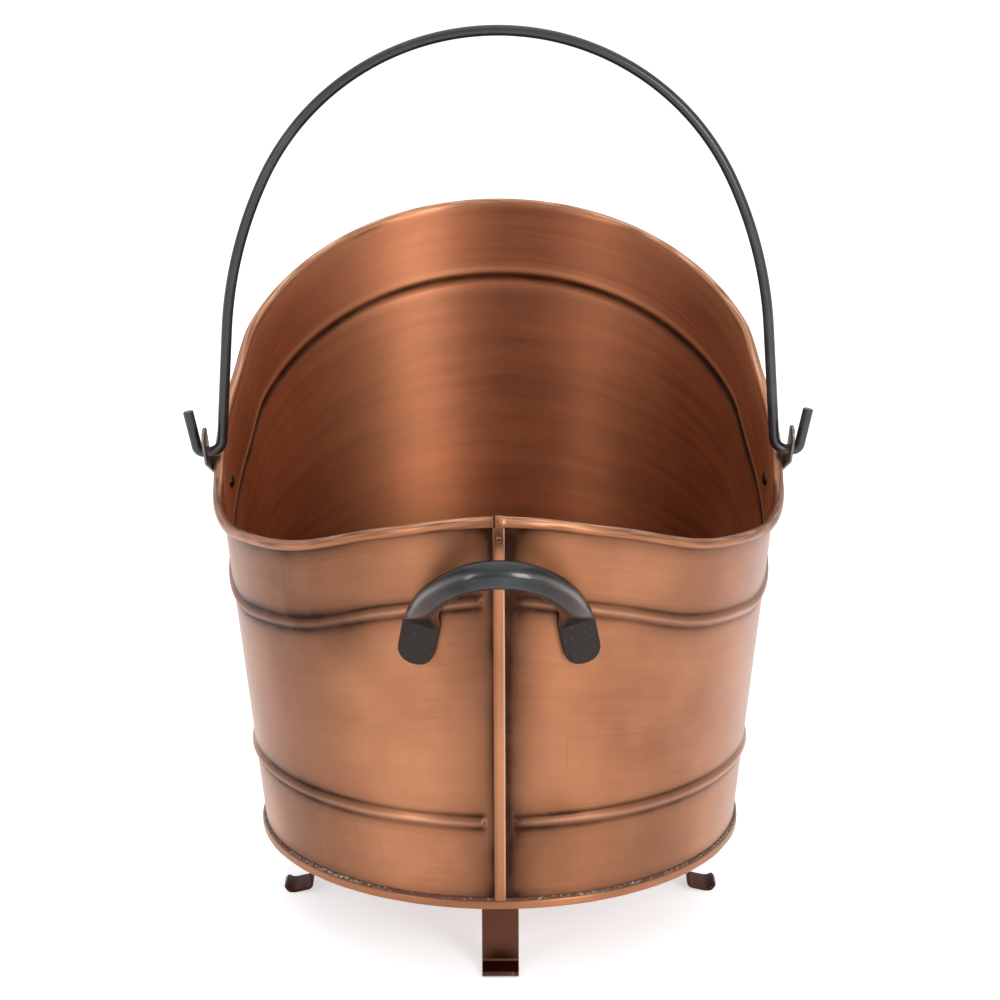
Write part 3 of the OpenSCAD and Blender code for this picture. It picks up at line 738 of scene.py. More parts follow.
def soft_solder(name):
    """Tin solder wiped along a joint and browned: bright crumbs on a dull brown and greenish skin."""
    c = colours()
    material, tree, surface = blank(name)
    place = add(tree, "TexCoord", None, "Object")
    # Bright crumbs are 1 to 2 mm across and lie in patches some 70 mm long, with green some 17 mm across
    crumbs = {"Vector": place, "Scale": 1 / (1.923 * MM), "Detail": 3, "Roughness": 0.65}
    crumbs = add(tree, "TexNoise", crumbs)
    patches = add(tree, "TexNoise", {"Vector": place, "Scale": 1 / (71.43 * MM), "Detail": 2})
    green = add(tree, "TexNoise", {"Vector": place, "Scale": 1 / (16.667 * MM), "Detail": 2})
    green = add(tree, "MapRange", {0: green, "From Min": 0.52, "From Max": 0.66, "To Max": 0.45})
    bright = add(tree, "Math", {0: patches, 1: 0.55, 2: crumbs}, operation="MULTIPLY_ADD")
    bright = add(tree, "MapRange", {0: bright, "From Min": 0.82, "From Max": 1.0})
    tint = rgba(c.patina, 2.4)
    for cover, layer in ((green, rgba(c.verdigris)), (bright, rgba(c.solder))):
        tint = add(tree, "Mix", {0: cover, 6: tint, 7: layer}, 2, data_type="RGBA")
    tin = {
        "Base Color": tint,
        "Metallic": 0.35,
        "Roughness": 0.45,
        "Normal": add(tree, "Bump", {"Strength": 0.3, "Distance": 0.3 * MM, "Height": crumbs}),
    }
    tree.links.new(add(tree, "BsdfPrincipled", tin), surface)
    return material


def painted_floor(name):
    """Matt painted board: an even pale grey."""
    material, tree, surface = blank(name)
    place = add(tree, "TexCoord", None, "Object")
    # The paint varies a little over some 330 mm
    cloud = add(tree, "TexNoise", {"Vector": place, "Scale": 1 / (333.3 * MM), "Detail": 2})
    white = colours().floor
    tint = add(tree, "Mix", {0: cloud, 6: rgba(white, 0.995), 7: rgba(white)}, 2, data_type="RGBA")
    # The sweep is lit by lamps of its own, so it looks white without lighting the bucket any further
    rays = add(tree, "LightPath").node.outputs
    mirrored = {0: rays["Is Glossy Ray"], 1: rays["Is Transmission Ray"]}
    mirrored = add(tree, "Math", mirrored, operation="MAXIMUM")
    level = 0.0
    for seen, share in ((mirrored, SWEEP_MIRRORED), (rays["Is Camera Ray"], SWEEP_LEVEL)):
        level = add(tree, "Math", {0: seen, 1: share, 2: level}, operation="MULTIPLY_ADD")
    paint = {
        "Base Color": tint,
        "Roughness": 0.9,
        "Specular IOR Level": 0.1,
        "Emission Color": tint,
        "Emission Strength": level,
    }
    tree.links.new(add(tree, "BsdfPrincipled", paint), surface)
    return material


def finish(key):
    """The named finish, made once."""
    c = colours()
    makers = {
        "Brushed copper sheet": lambda n: brushed_copper(n, c.copper_deep, c.copper_bright, c.patina),
        "Tinned copper hem": tinned_hem,
        "Soft solder": soft_solder,
        "Aged copper strap": lambda n: brushed_copper(n, Vector(c.foot_brown) * 0.6, c.foot_brown, c.patina),
        "Black lacquered wire": lacquered_wire,
        "Blued forging": blued_forging,
        "Rolled steel": rolled_steel,
        "Painted floor": painted_floor,
    }
    return bpy.data.materials.get(key) or makers[key](key)


# Film, wear, painted shade and painted highlights of the wall

# Beads and their film fade out between these distances from the seam
BEAD_END = (6.4 * MM, 10 * MM)
# Depth and reach of the patina and painted shade under and over a bead, close to it and further off
UNDER_BEAD = ((0.38, 1.8 * MM), (0.25, 5 * MM))
OVER_BEAD = ((0.55, 1.3 * MM), (0.22, 4.5 * MM))
# Depth and reach of the patina and painted shadow right and left of the strip, of the painted shade round it
# and under the rim, and of the darkening above the hem
RIGHT_OF_STRIP = (0.85, 5.5 * MM)
LEFT_OF_STRIP = (0.6, 3.2 * MM)
STRIP_HAZE = (0.24, 17 * MM)
UNDER_RIM = (0.5, 3.5 * MM)
ABOVE_HEM = (0.5, 3 * MM)
# Broad bands of painted reflection round the outside, darker where the depth is positive and lighter where
# negative: angle from the front, width in degrees and depth
REFLECTION_BANDS = (
    (-140, 24, 0.1),
    (-82, 9, -0.3),
    (-50, 16, 0.2),
    (-21, 11, -0.28),
    (27, 9, -0.12),
    (57, 13, -0.24),
    (80, 13, -0.4),
    (128, 20, 0.12),
)
FILM_EVEN = 0.12
# Patches of painted reflection among those bands: angle, height above the base, width in degrees, height of
# the patch and depth
REFLECTION_PATCHES = (
    (-31, 158 * MM, 9, 20 * MM, 0.3),
    (-24, 192 * MM, 10, 18 * MM, 0.16),
    (-13, 35 * MM, 6, 24 * MM, -0.22),
    (13, 62 * MM, 7, 62 * MM, 0.22),
    (33, 25 * MM, 20, 24 * MM, 0.22),
    (27, 190 * MM, 14, 30 * MM, -0.24),
    (57, 150 * MM, 11, 32 * MM, -0.2),
    (-68, 14 * MM, 9, 26 * MM, -0.25),
    (66, 14 * MM, 9, 26 * MM, -0.25),
)
# Painted sheen, a painted reflection of the softboxes, inside the back: angle, width in degrees and depth
SHEEN_INSIDE = ((-157, 18, 0.62), (156, 13, 0.28))


def outside_film(y, top, upper, from_seam, turn):
    """Patina and painted shade, and polish and painted highlights, outside at height y: dark in corners,
    bright on the crests of the beads, with bands of painted reflection round the wall.
    """
    b = bucket()
    half = b.bead_w / 2
    fade = smooth_step(*BEAD_END, from_seam)
    dark, bright = FILM_EVEN, 0.0
    # Patina and painted shade under and over each bead, and a painted highlight along its crest
    for middle in (b.bead_low_h, upper):
        under, over = y - (middle - half), y - (middle + half)
        # The darkest line over a bead lies a little up the wall
        for off, away, (close, wide) in ((under, under, UNDER_BEAD), (over - 0.2 * MM, over, OVER_BEAD)):
            dark += fade * (close[0] * bell(off, close[1]) + wide[0] * decay(abs(away), wide[1]))
        bright += fade**4 * 0.8 * bell(y - middle - 0.4 * MM, 2.3 * MM)
    # Patina and painted shadow beside the strip, deeper on its right, and painted shade round it
    if abs(turn) < 90:
        strip = max(0, from_seam - b.seam_w / 2)
        depth, reach = RIGHT_OF_STRIP if turn > 0 else LEFT_OF_STRIP
        dark += depth * decay(strip, reach) + STRIP_HAZE[0] * bell(strip, STRIP_HAZE[1])
    # Painted shade under the roll, and darkening above the hem
    dark += UNDER_RIM[0] * decay(top - b.roll_r - y, UNDER_RIM[1])
    dark += ABOVE_HEM[0] * decay(y - b.hem_h, ABOVE_HEM[1])
    # Painted highlight on the wall behind the grip
    across = math.radians(turn) * wall_r(y)
    behind_grip = bell(across, 52 * MM) * bell(y - upper - 18 * MM, 20 * MM)
    bright += 0.35 * behind_grip * (1 - decay(from_seam, 9 * MM))
    # Darker low on the wall and near the rim
    dark += 0.12 * math.exp(-((y / (48 * MM)) ** 4)) + 0.18 * smooth_step(0.7, 1.1, y / upper)
    # Painted reflection bands and patches: darker where their depth is positive, lighter where negative,
    # which the return turns into painted highlight
    dark += sum(depth * hump(turn - at, wide) for at, wide, depth in REFLECTION_BANDS)
    for at, high, wide, tall, depth in REFLECTION_PATCHES:
        dark += depth * hump(turn - at, wide) * bell(y - high, tall)
    return dark, bright + max(-dark, 0)


def inside_film(y, top, upper, from_seam, turn):
    """Patina, painted shade and painted sheen inside at height y: dark in the beads' grooves and above the
    base, with painted sheen on the back and below the rim at the sides.
    """
    b = bucket()
    fade = smooth_step(*BEAD_END, from_seam)
    # The right side is the darker one
    shaded = 0.3 if turn > 0 else 0.04
    dark = 0.25 * decay(y - b.base_t, 30 * MM) + shaded * smooth_step(155, 105, abs(turn))
    bright = sum(depth * hump(turn - at, wide) for at, wide, depth in SHEEN_INSIDE)
    # Painted sheen on the sides below the rim
    at_side = smooth_step(60, 95, abs(turn)) * smooth_step(165, 125, abs(turn))
    bright += 0.95 * decay(max(0, top - y), 11 * MM) * at_side
    aside = smooth_step(162, 128, abs(turn))
    # Painted shade in each bead's groove and painted highlights on its lips
    for middle in (b.bead_low_h, upper):
        up = (y - middle) / (b.bead_w / 2)
        dark += fade * 0.9 * bell(up - 0.15 + 0.3 * aside, 0.55 + 0.2 * aside)
        bright += fade * (0.9 * bell(up - 1.3, 0.5) + 0.5 * (1 - aside) * bell(up + 1.25, 0.35))
    if abs(turn) < 90:
        dark += 0.7 * decay(from_seam, 1.2 * MM)
    return dark, bright


# Pieces

BEAD_STEPS = 14
# Radius at which brush marks and solder along the hem have their true length
HEM_MIDDLE_R = 142 * MM
# Angles beside the seam at which the wall has a column of points, closest where the beads end
SEAM_COLUMNS = (
    *(0, 0.15, 0.3, 0.45, 0.55, 0.6, 0.64, 0.68, 0.72, 0.76, 0.8, 0.85, 0.95, 1.1),
    *(1.25, 1.4, 1.7, 2, 2.25, 2.5, 2.75, 3, 3.25, 3.5, 3.75, 4, 4.5),
)


class LOGBUCKET_OT_wall(bpy.types.Operator):
    """Build the wall sheet with its rolled rim and its two beads"""

    bl_idname = "log_bucket.wall"
    bl_label = "Wall"

    def execute(self, context):
        half = [*SEAM_COLUMNS, *range(5, 180)]
        columns = half + [180] + [360 - a for a in reversed(half[1:])]
        middle_r = 155 * MM
        rings, marks = [], {"patina": [], "polish": [], "inside": []}
        for a in columns:
            ring = self.section(a)
            rings.append([on_ring(r, a, h) for r, h, *_ in ring])
            for key, values in zip(marks, list(zip(*ring))[2:]):
                marks[key] += values
        around = distances([Vector((r, h, 0)) for r, h, *_ in self.section(90)])
        along = [math.radians(a) * middle_r for a in columns + [360]]
        wall = mesh_piece("wall_sheet", *loft(rings, around, along, closed=True), marks, sharp=50)
        settle(wall, "bucket", "copper", finish("Brushed copper sheet"), "body_wall")
        return {"FINISHED"}

    def section(self, degrees):
        """Points up the outer face, round the roll and down the inner face.

        Each is a radius, a height, a patina with painted shade, a polish with painted highlights and whether
        it is inside.
        """
        b = bucket()
        turn = wrapped(degrees)
        at_front = abs(turn) < 90
        from_seam = abs(math.sin(math.radians(turn))) * b.wall_r if at_front else 1
        top = rim_h(turn)
        upper = top - b.bead_drop
        half = b.bead_w / 2
        across_bead = [(k / BEAD_STEPS - 0.5) * b.bead_w for k in range(BEAD_STEPS)]
        rows = spread(b.base_t + SEAT, b.bead_low_h - half, 10)
        rows += [b.bead_low_h + y for y in across_bead]
        rows += spread(b.bead_low_h + half, upper - half, 22)
        rows += [upper + y for y in across_bead]
        rows += spread(upper + half, top - 0.4 * MM, 12)
        faces = []
        for within, film in enumerate((outside_film, inside_film)):
            face = []
            for y in rows:
                out = bead_out(y, b.bead_low_h, from_seam) + bead_out(y, upper, from_seam)
                dark, bright = film(y, top, upper, from_seam, turn)
                r = wall_r(y) - within * b.sheet_t + out
                face.append((r, y, min(max(dark, 0), 1), min(bright, 1), within))
            faces.append(face)
        # The ends of the roll meet left of the strip, and the right-hand end is swollen by the bending
        joint_off, swell, gap = 2 * MM, 0.45 * MM, 0.3 * MM
        past_joint = math.copysign(from_seam, turn) + joint_off
        lump = notch = joint = 0
        if at_front:
            swollen = smooth_step(0, 0.4 * MM, past_joint) * smooth_step(5.5 * MM, 3 * MM, past_joint)
            lump = swell * swollen
            notch = gap * bell(past_joint, 0.25 * MM)
            joint = 0.75 * bell(past_joint, 0.4 * MM) + 0.45 * bell(past_joint, 4 * MM)
        roll_in = b.roll_r - b.sheet_t
        rolls = []
        for radius, steps in ((roll_in, 20), (b.roll_r + lump - notch, 26)):
            roll = []
            for k in range(steps + 1):
                t = math.pi - k / steps * b.roll_turn
                # Painted shade under the roll and a painted highlight along its top, broken into streaks; the
                # stains and the dark joint are the metal's own
                under = smooth_step(-0.4, -1.0, math.sin(t)) * 0.7
                dent = 0.35 * lump * noise.noise(Vector((past_joint * 900, t * 1.7, 0.5)))
                streak = 1 + 1.9 * noise.noise(Vector((turn * 0.2, t * 3.2, 3)))
                stain = 0.9 * max(0, noise.noise(Vector((turn * 0.13, t * 3.6, 9))))
                r, bright = radius + dent, min(1, 0.95 * max(0, math.sin(t)) * streak)
                at = (wall_r(top) + roll_in + r * math.cos(t), top + r * math.sin(t))
                roll.append((*at, min(1, max(joint, under, stain)), bright, 0))
            rolls.append(roll)
        return faces[0] + rolls[0] + rolls[1][::-1] + faces[1][::-1]


class LOGBUCKET_OT_seam(bpy.types.Operator):
    """Build the capping strip of the front seam, with its nail dimple"""

    bl_idname = "log_bucket.seam"
    bl_label = "Seam strip"

    def execute(self, context):
        b = bucket()
        low = b.hem_h + SEAT + b.seam_t * math.sin(b.wall_flare)
        high = (b.rim_front_h - b.roll_r - SEAT - low) / math.cos(b.wall_flare)
        edge = b.seam_t / 2
        half = b.seam_w / 2
        place = wall_frame(0, low) @ Matrix.Translation((0, 0, SEAT))
        corner = 1.2 * MM
        # Rows along the strip, closer together round the dimple and on the rounded corners
        ends = [high * k / 150 for k in range(150)] + [high - 10 * MM + 0.5 * MM * k for k in range(18)]
        ends += [high - corner * (1 - math.sin(math.radians(t))) for t in range(0, 91, 10)]
        ends = sorted(set(round(e, 6) for e in ends if e >= 0))
        dimple_at, dimple_r, dimple_deep, crown = high - 7 * MM, 1.3 * MM, 0.3 * MM, 0.3 * MM
        rings, dark, bright = [], [], []
        for y in ends:
            short = max(0, y - (high - corner))
            wide = half - corner + math.sqrt(max(0, corner**2 - short**2))
            ring = []
            flat = max(wide - edge, 0)
            bend = [math.radians(d) for d in range(0, 91, 18)]
            rise = [(wide - min(edge, wide) * (1 - math.cos(t)), edge + edge * math.sin(t)) for t in bend]
            profile = [(-wide, 0)] + [(-x, z) for x, z in rise]
            profile += [(flat * k / 7, b.seam_t) for k in range(-6, 7)] + rise[::-1] + [(wide, 0)]
            profile = [(x, z - crown * min(1, z / edge) * (x / half) ** 2) for x, z in profile]
            for x, z in profile:
                away = math.hypot(x, y - dimple_at)
                dip = math.exp(-((away / dimple_r) ** 4)) if z > edge else 0
                ring.append(place @ Vector((x, y, z - dimple_deep * dip)))
                # Painted shade on the strip's sides, at its ends, on its left half and in the dimple, and a
                # painted highlight along its right edge
                side = smooth_step(0.5, 0, z / b.seam_t)
                end = 0.6 * decay(high - y, 1.2 * MM) + 0.5 * decay(y, 6 * MM)
                left = 0.3 * smooth_step(0.1, -0.8, x / half)
                dark.append(min(1, max(0.7 * dip, side, left, end * (1 - 0.5 * z / b.seam_t))))
                worn = 0.9 * smooth_step(0.62, 0.8, x / half) + 0.2
                bright.append(worn * (1 - dark[-1]))
            rings.append(ring)
        around = distances([Vector(p) for p in rings[0]])
        # The strip is brushed along its length
        marks = {"patina": dark, "polish": bright}
        strip = mesh_piece("seam_strip_cap", *loft(rings, around, ends, caps=True), marks, sharp=55)
        settle(strip, "bucket", "copper", finish("Brushed copper sheet"), "seam_strip")
        return {"FINISHED"}


class LOGBUCKET_OT_base(bpy.types.Operator):
    """Build the base sheet with its hemmed edge"""

    bl_idname = "log_bucket.base"
    bl_label = "Base"

    def execute(self, context):
        b = bucket()
        hem_r = b.wall_r + b.hem_reach
        lip_in = wall_r(b.hem_h) + SEAT + PASS
        edge = b.base_t
        # Radius, height, patina, tin and inside, from the middle below to the middle above
        profile = [(0, 0, 0.5, 0, 1)]
        profile += [(r * MM, 0, 0.3, 0, 1) for r in (20, 50, 80, 110, 130)]
        for middle, start in ((edge, 270), (b.hem_h - edge, 0)):
            for k in range(7):
                t = math.radians(start + 15 * k)
                profile.append((hem_r - edge + edge * math.cos(t), middle + edge * math.sin(t), 0.15, 0, 0))
        lip = lip_in + edge / 2
        profile += [(hem_r - 1.2 * edge, b.hem_h, 0.8, 1, 0), (lip + 0.3 * MM, b.hem_h, 0.9, 1, 0)]
        profile += [(lip_in, b.hem_h - 0.3 * MM, 1, 1, 0), (lip_in, b.base_t + 0.4 * MM, 1, 0, 0)]
        profile += [(lip_in - 0.5 * MM, b.base_t, 1, 0, 1)]
        profile += [(r * MM, b.base_t, 0.55 if r > 120 else 0.4, 0, 1) for r in (137, 130, 110, 80, 50, 20)]
        profile += [(0, b.base_t, 0.4, 0, 1)]
        sides, uneven = 300, 0.25 * MM
        rings, marks = [], {"patina": [], "tin": [], "inside": []}
        for k in range(sides):
            a = 2 * math.pi * k / sides
            ring = []
            for r, h, *values in profile:
                wobble = 0
                if r > b.wall_r - edge and h > 0:
                    wobble = uneven * noise.noise(Vector((math.cos(a) * 9, math.sin(a) * 9, h * 300)))
                ring.append(on_ring(r + wobble, math.degrees(a), h))
                for key, value in zip(marks, values):
                    marks[key].append(value)
            rings.append(ring)
        around = distances([(r, h, 0) for r, h, *_ in profile], closed=False)
        along = [2 * math.pi * HEM_MIDDLE_R * k / sides for k in range(sides + 1)]
        skin = loft(rings, around, along, closed=True, open_rings=True)
        base = mesh_piece("base_and_hem", *skin, marks, sharp=50)
        settle(base, "bucket", "copper", finish("Tinned copper hem"), "base_pan")
        return {"FINISHED"}


class LOGBUCKET_OT_solder(bpy.types.Operator):
    """Build the uneven fillet of solder between the wall and the hem"""

    bl_idname = "log_bucket.solder"
    bl_label = "Solder fillet"

    def execute(self, context):
        b = bucket()
        sides = 900
        foot = wall_r(b.hem_h) + PASS
        rings = []
        for k in range(sides):
            a = 2 * math.pi * k / sides
            # The fillet swells over some 6 mm and 2 mm of its length, and its crumbs are smaller still
            round_place = Vector((math.cos(a), math.sin(a), 0)) * 26
            swell = noise.noise(round_place) + 0.5 * noise.noise(round_place * 3.1)
            crumb = 0.16 * MM * noise.noise(round_place * 7)
            high = (1.3 + 0.5 * swell) * MM
            wide = (1.15 + 0.45 * swell) * MM
            ring = [(0, 0), (wide, 0), (0.93 * wide, 0.2 * high), (0.55 * wide + crumb, 0.5 * high)]
            ring += [(0.24 * wide, 0.82 * high), (0, high)]
            lean = math.tan(b.wall_flare)
            rings.append([on_ring(foot + x + y * lean, math.degrees(a), b.hem_h + SEAT + y) for x, y in ring])
        around = distances([(x, y, 0) for x, y in ring])
        along = [2 * math.pi * HEM_MIDDLE_R * k / sides for k in range(sides + 1)]
        fillet = mesh_piece("solder_fillet", *loft(rings, around, along, closed=True), sharp=60)
        settle(fillet, "bucket", "steel", finish("Soft solder"))
        return {"FINISHED"}


# Turn of each foot from +X, in degrees
FOOT_TURNS = {"front": -90, "right": 0, "rear": 90, "left": 180}


class LOGBUCKET_OT_feet(bpy.types.Operator):
    """Build the four bent strap feet and their rivets"""

    bl_idname = "log_bucket.feet"
    bl_label = "Feet"

    def execute(self, context):
        b, f, g = bucket(), context.scene.log_bucket_feet, grip_sizes()
        t = f.thickness
        r, low, high = f.radius - t / 2, t / 2, b.foot_h - SEAT - t / 2
        flat, lip, lip_turn, bend_r, round_r = 3 * MM, 4 * MM, math.radians(38), 3 * MM, 4 * MM
        corners = [
            (r - f.flange, high),
            (r, high),
            (r, low + f.toe * math.tan(f.toe_slope)),
            (r + f.toe, low),
            (r + f.toe + flat, low),
            (r + f.toe + flat + lip * math.cos(lip_turn), low + lip * math.sin(lip_turn)),
        ]
        path = finer(rounded_path(corners, bend_r), 0.7 * MM)

        def half_width(from_tip):
            d = max(0, round_r - from_tip)
            return f.width / 2 - round_r + math.sqrt(max(0, round_r**2 - d**2))

        copper = finish("Aged copper strap")
        turns = {name: Matrix.Rotation(math.radians(a), 4, "Z") for name, a in FOOT_TURNS.items()}
        for name, turn in turns.items():
            foot = strap_piece(f"strap_foot_{name}", path, t, half_width, turn)
            heights = [v.co.z for v in foot.data.vertices]
            # Painted shade: the side feet are darker than the front one, and every foot has a painted shadow
            # under the base and is darker near the floor
            foot_shade = 0.1 if name == "front" else 0.5
            dark = [0.9 * decay(b.foot_h - z, 9 * MM) + 0.4 * decay(z, 3.5 * MM) + foot_shade for z in heights]
            mark = foot.data.attributes.new("patina", "FLOAT", "POINT")
            mark.data.foreach_set("value", [min(1, d) for d in dark])
            settle(foot, "bucket", "dark_copper", copper, f"foot_{name}")
        flange_middle = f.radius - t - f.flange / 2
        pair = [Matrix.Translation((flange_middle, side * g.pair_pitch / 2, b.foot_h)) for side in (-1, 1)]
        places = [turn @ at for turn in turns.values() for at in pair]
        ends = (-t - 2 * SEAT, b.base_t + SEAT)
        # Logs rub the heads inside the bucket
        rivets = fasteners_piece("foot_rivet_heads", places, *ends, RIVET_HEAD, browned=0.2, rub_and_highlight=0.7)
        settle(rivets, "bucket", "dark_copper", copper, "foot_rivets")
        return {"FINISHED"}


def ear_shape():
    """Corners (out, along) of an ear's middle line, its frame at the rivet, and the middle of its hole."""
    b, e = bucket(), ear_sizes()
    turn = math.degrees(e.turn)
    rivet_h = rim_h(turn) - e.drop
    # The rim climbs past the tilted ear, so the distance to it is found by steps
    to_roll = e.drop
    for _ in range(24):
        beside = math.degrees(math.asin(to_roll * math.sin(e.tilt) / wall_r(rivet_h)))
        to_roll = (rim_h(turn - beside) - rivet_h) / math.cos(e.tilt) / math.cos(b.wall_flare)
    hole = to_roll + e.axis_rise
    bend = hole - e.bend_drop
    stand = 2 * b.roll_r - b.sheet_t + e.gap + e.thickness / 2
    seat = e.thickness / 2 + SEAT
    hole_out = stand - e.bend_drop * math.tan(e.nod)
    corners = [
        (seat, -e.foot),
        (seat, bend - (stand - seat) / math.tan(e.lean)),
        (stand, bend),
        (hole_out - e.tip * math.tan(e.nod), hole + e.tip),
    ]
    place = wall_frame(turn, rivet_h) @ Matrix.Rotation(e.tilt, 4, "Z")
    return corners, place, place @ Vector((0, hole, hole_out))


class LOGBUCKET_OT_ears(bpy.types.Operator):
    """Build the two ears with their holes, and their rivets"""

    bl_idname = "log_bucket.ears"
    bl_label = "Ears"

    def execute(self, context):
        b, s, e = bucket(), bail_sizes(), ear_sizes()
        corners, place, hole_at = ear_shape()
        bend_r, top_r, corner_r, tip_w = 2.5 * MM, e.width / 2, 2 * MM, 1.2 * MM
        path = finer(rounded_path(corners, bend_r), 0.5 * MM)
        total = distances([p.to_3d() for p in path], closed=False)[-1]

        def half_width(from_tip):
            top = max(0, top_r - from_tip)
            low = max(0, corner_r - (total - from_tip))
            round_top = math.sqrt(max(0, top_r**2 - top**2))
            round_low = top_r - corner_r + math.sqrt(max(0, corner_r**2 - low**2))
            return max(tip_w, min(round_top, round_low))

        drill = bmesh.new()
        hole_r, past_both = s.wire / 2 + s.play, 500 * MM
        sizes = {"segments": 40, "radius1": hole_r, "radius2": hole_r, "depth": past_both}
        bmesh.ops.create_cone(drill, cap_ends=True, **sizes)
        hole_mesh = bpy.data.meshes.new("ear_hole")
        drill.to_mesh(hole_mesh)
        drill.free()
        hole = bpy.data.objects.new("ear_hole", hole_mesh)
        along_x = Matrix.Rotation(math.pi / 2, 4, "Y")
        hole.matrix_world = Matrix.Translation((0, hole_at.y, hole_at.z)) @ along_x
        context.scene.collection.objects.link(hole)
        # The strap is built with its path in the XZ plane: X out of the wall and Z along the ear
        upright = Matrix(((0, -1, 0, 0), (0, 0, 1, 0), (1, 0, 0, 0), (0, 0, 0, 1)))
        steel = finish("Rolled steel")
        places = {"left": Matrix.Diagonal((-1, 1, 1, 1)) @ place, "right": place}
        for name, at in places.items():
            ear = strap_piece(f"ear_strap_{name}", path, e.thickness, half_width, at @ upright)
            cut = ear.modifiers.new("hole", "BOOLEAN")
            cut.object, cut.operation, cut.solver = hole, "DIFFERENCE", "EXACT"
            context.view_layer.update()
            done = bpy.data.meshes.new_from_object(ear.evaluated_get(context.evaluated_depsgraph_get()))
            ear.modifiers.clear()
            ear.data = done
            done.name = ear.name
            done.shade_smooth()
            done.set_sharp_from_angle(angle=math.radians(35))
            settle(ear, "bucket", "steel", steel, f"ear_{name}")
        bpy.data.objects.remove(hole)
        ends = (-b.sheet_t - PASS - SEAT, e.thickness + 2 * SEAT)
        rivets = fasteners_piece("ear_rivet_heads", places.values(), *ends, RIVET_HEAD)
        settle(rivets, "bucket", "steel", steel, "ear_rivets")
        return {"FINISHED"}


class LOGBUCKET_OT_bail(bpy.types.Operator):
    """Build the wire bail, from hook to hook"""

    bl_idname = "log_bucket.bail"
    bl_label = "Bail"

    def execute(self, context):
        s = bail_sizes()
        middle = ear_shape()[2]
        beside_ear = 0.7 * MM
        half_journal = ear_sizes().thickness / 2 + beside_ear
        inner, outer = middle.x - half_journal, middle.x + half_journal
        # The bow bends at one radius up to here from its top, and then at the shoulders' radius
        lean, bow_turn = s.leg_lean, math.radians(64)
        foot = Vector((inner - s.leg_bend_r * math.cos(lean), s.leg_bend_r * (1 - math.sin(lean))))
        end = math.pi / 2 - lean
        side_x = foot.x - s.shoulder_r * (math.sin(end) - math.sin(bow_turn))
        side_z = s.rise - foot.y - s.shoulder_r * (math.cos(bow_turn) - math.cos(end))
        closing = math.sin(bow_turn) * math.cos(lean) - (1 - math.cos(bow_turn)) * math.sin(lean)
        bow_r = (side_x * math.cos(lean) - side_z * math.sin(lean)) / closing
        bow_z = s.rise - bow_r
        shoulder = Vector((math.sin(bow_turn), math.cos(bow_turn))) * (bow_r - s.shoulder_r)
        shoulder += Vector((0, bow_z))
        hook_turn = math.pi / 2 - s.hook_lean
        hook_out = outer + s.hook_bend_r * math.sin(hook_turn)
        hook_foot = Vector((hook_out, s.hook_bend_r * (1 - math.cos(hook_turn))))
        hook_len = (s.hook_h - hook_foot.y) / math.cos(s.hook_lean)

        def arc(centre, radius, start, stop, steps):
            """Points from one direction, measured from straight up, to another."""
            turns = [start + (stop - start) * k / steps for k in range(steps + 1)]
            return [centre + radius * Vector((math.sin(t), math.cos(t))) for t in turns]

        half = arc(Vector((0, bow_z)), bow_r, 0, bow_turn, 64)
        half += arc(shoulder, s.shoulder_r, bow_turn, end, 26)[1:]
        half += arc(Vector((inner, s.leg_bend_r)), s.leg_bend_r, -math.pi / 2 - lean, -math.pi, 20)
        half += arc(Vector((outer, s.hook_bend_r)), s.hook_bend_r, math.pi, math.pi - hook_turn, 16)
        half.append(hook_foot + hook_len * Vector((math.sin(s.hook_lean), math.cos(s.hook_lean))))
        path = [Vector((-p.x, p.y)) for p in reversed(half[1:])] + half
        wire = wire_piece("bail_wire", finer(path, 8 * MM), s.wire / 2)
        wire.data.transform(Matrix.Translation((0, middle.y, middle.z)))
        settle(wire, "bail", "dark_iron", finish("Black lacquered wire"), "bail")
        return {"FINISHED"}


def pad_directions():
    """Crease point of the right pad, and directions down and across the splayed pad and out of the wall."""
    b, g = bucket(), grip_sizes()
    out_of_wall = g.pad_t / 2 + SEAT
    turn = math.asin(g.span / 2 / (wall_r(g.foot_h) + out_of_wall))
    along = Vector((math.cos(turn), math.sin(turn), 0))
    ahead = Vector((math.sin(turn), -math.cos(turn), 0))
    upright = Vector((0, 0, 1))
    up = ahead * math.sin(b.wall_flare) + upright * math.cos(b.wall_flare)
    out = ahead * math.cos(b.wall_flare) - upright * math.sin(b.wall_flare)
    crease = on_ring(wall_r(g.foot_h), math.degrees(turn), g.foot_h) + out * out_of_wall
    down = along * math.sin(g.pad_splay) - up * math.cos(g.pad_splay)
    wide = along * math.cos(g.pad_splay) + up * math.sin(g.pad_splay)
    return crease, down, wide, out


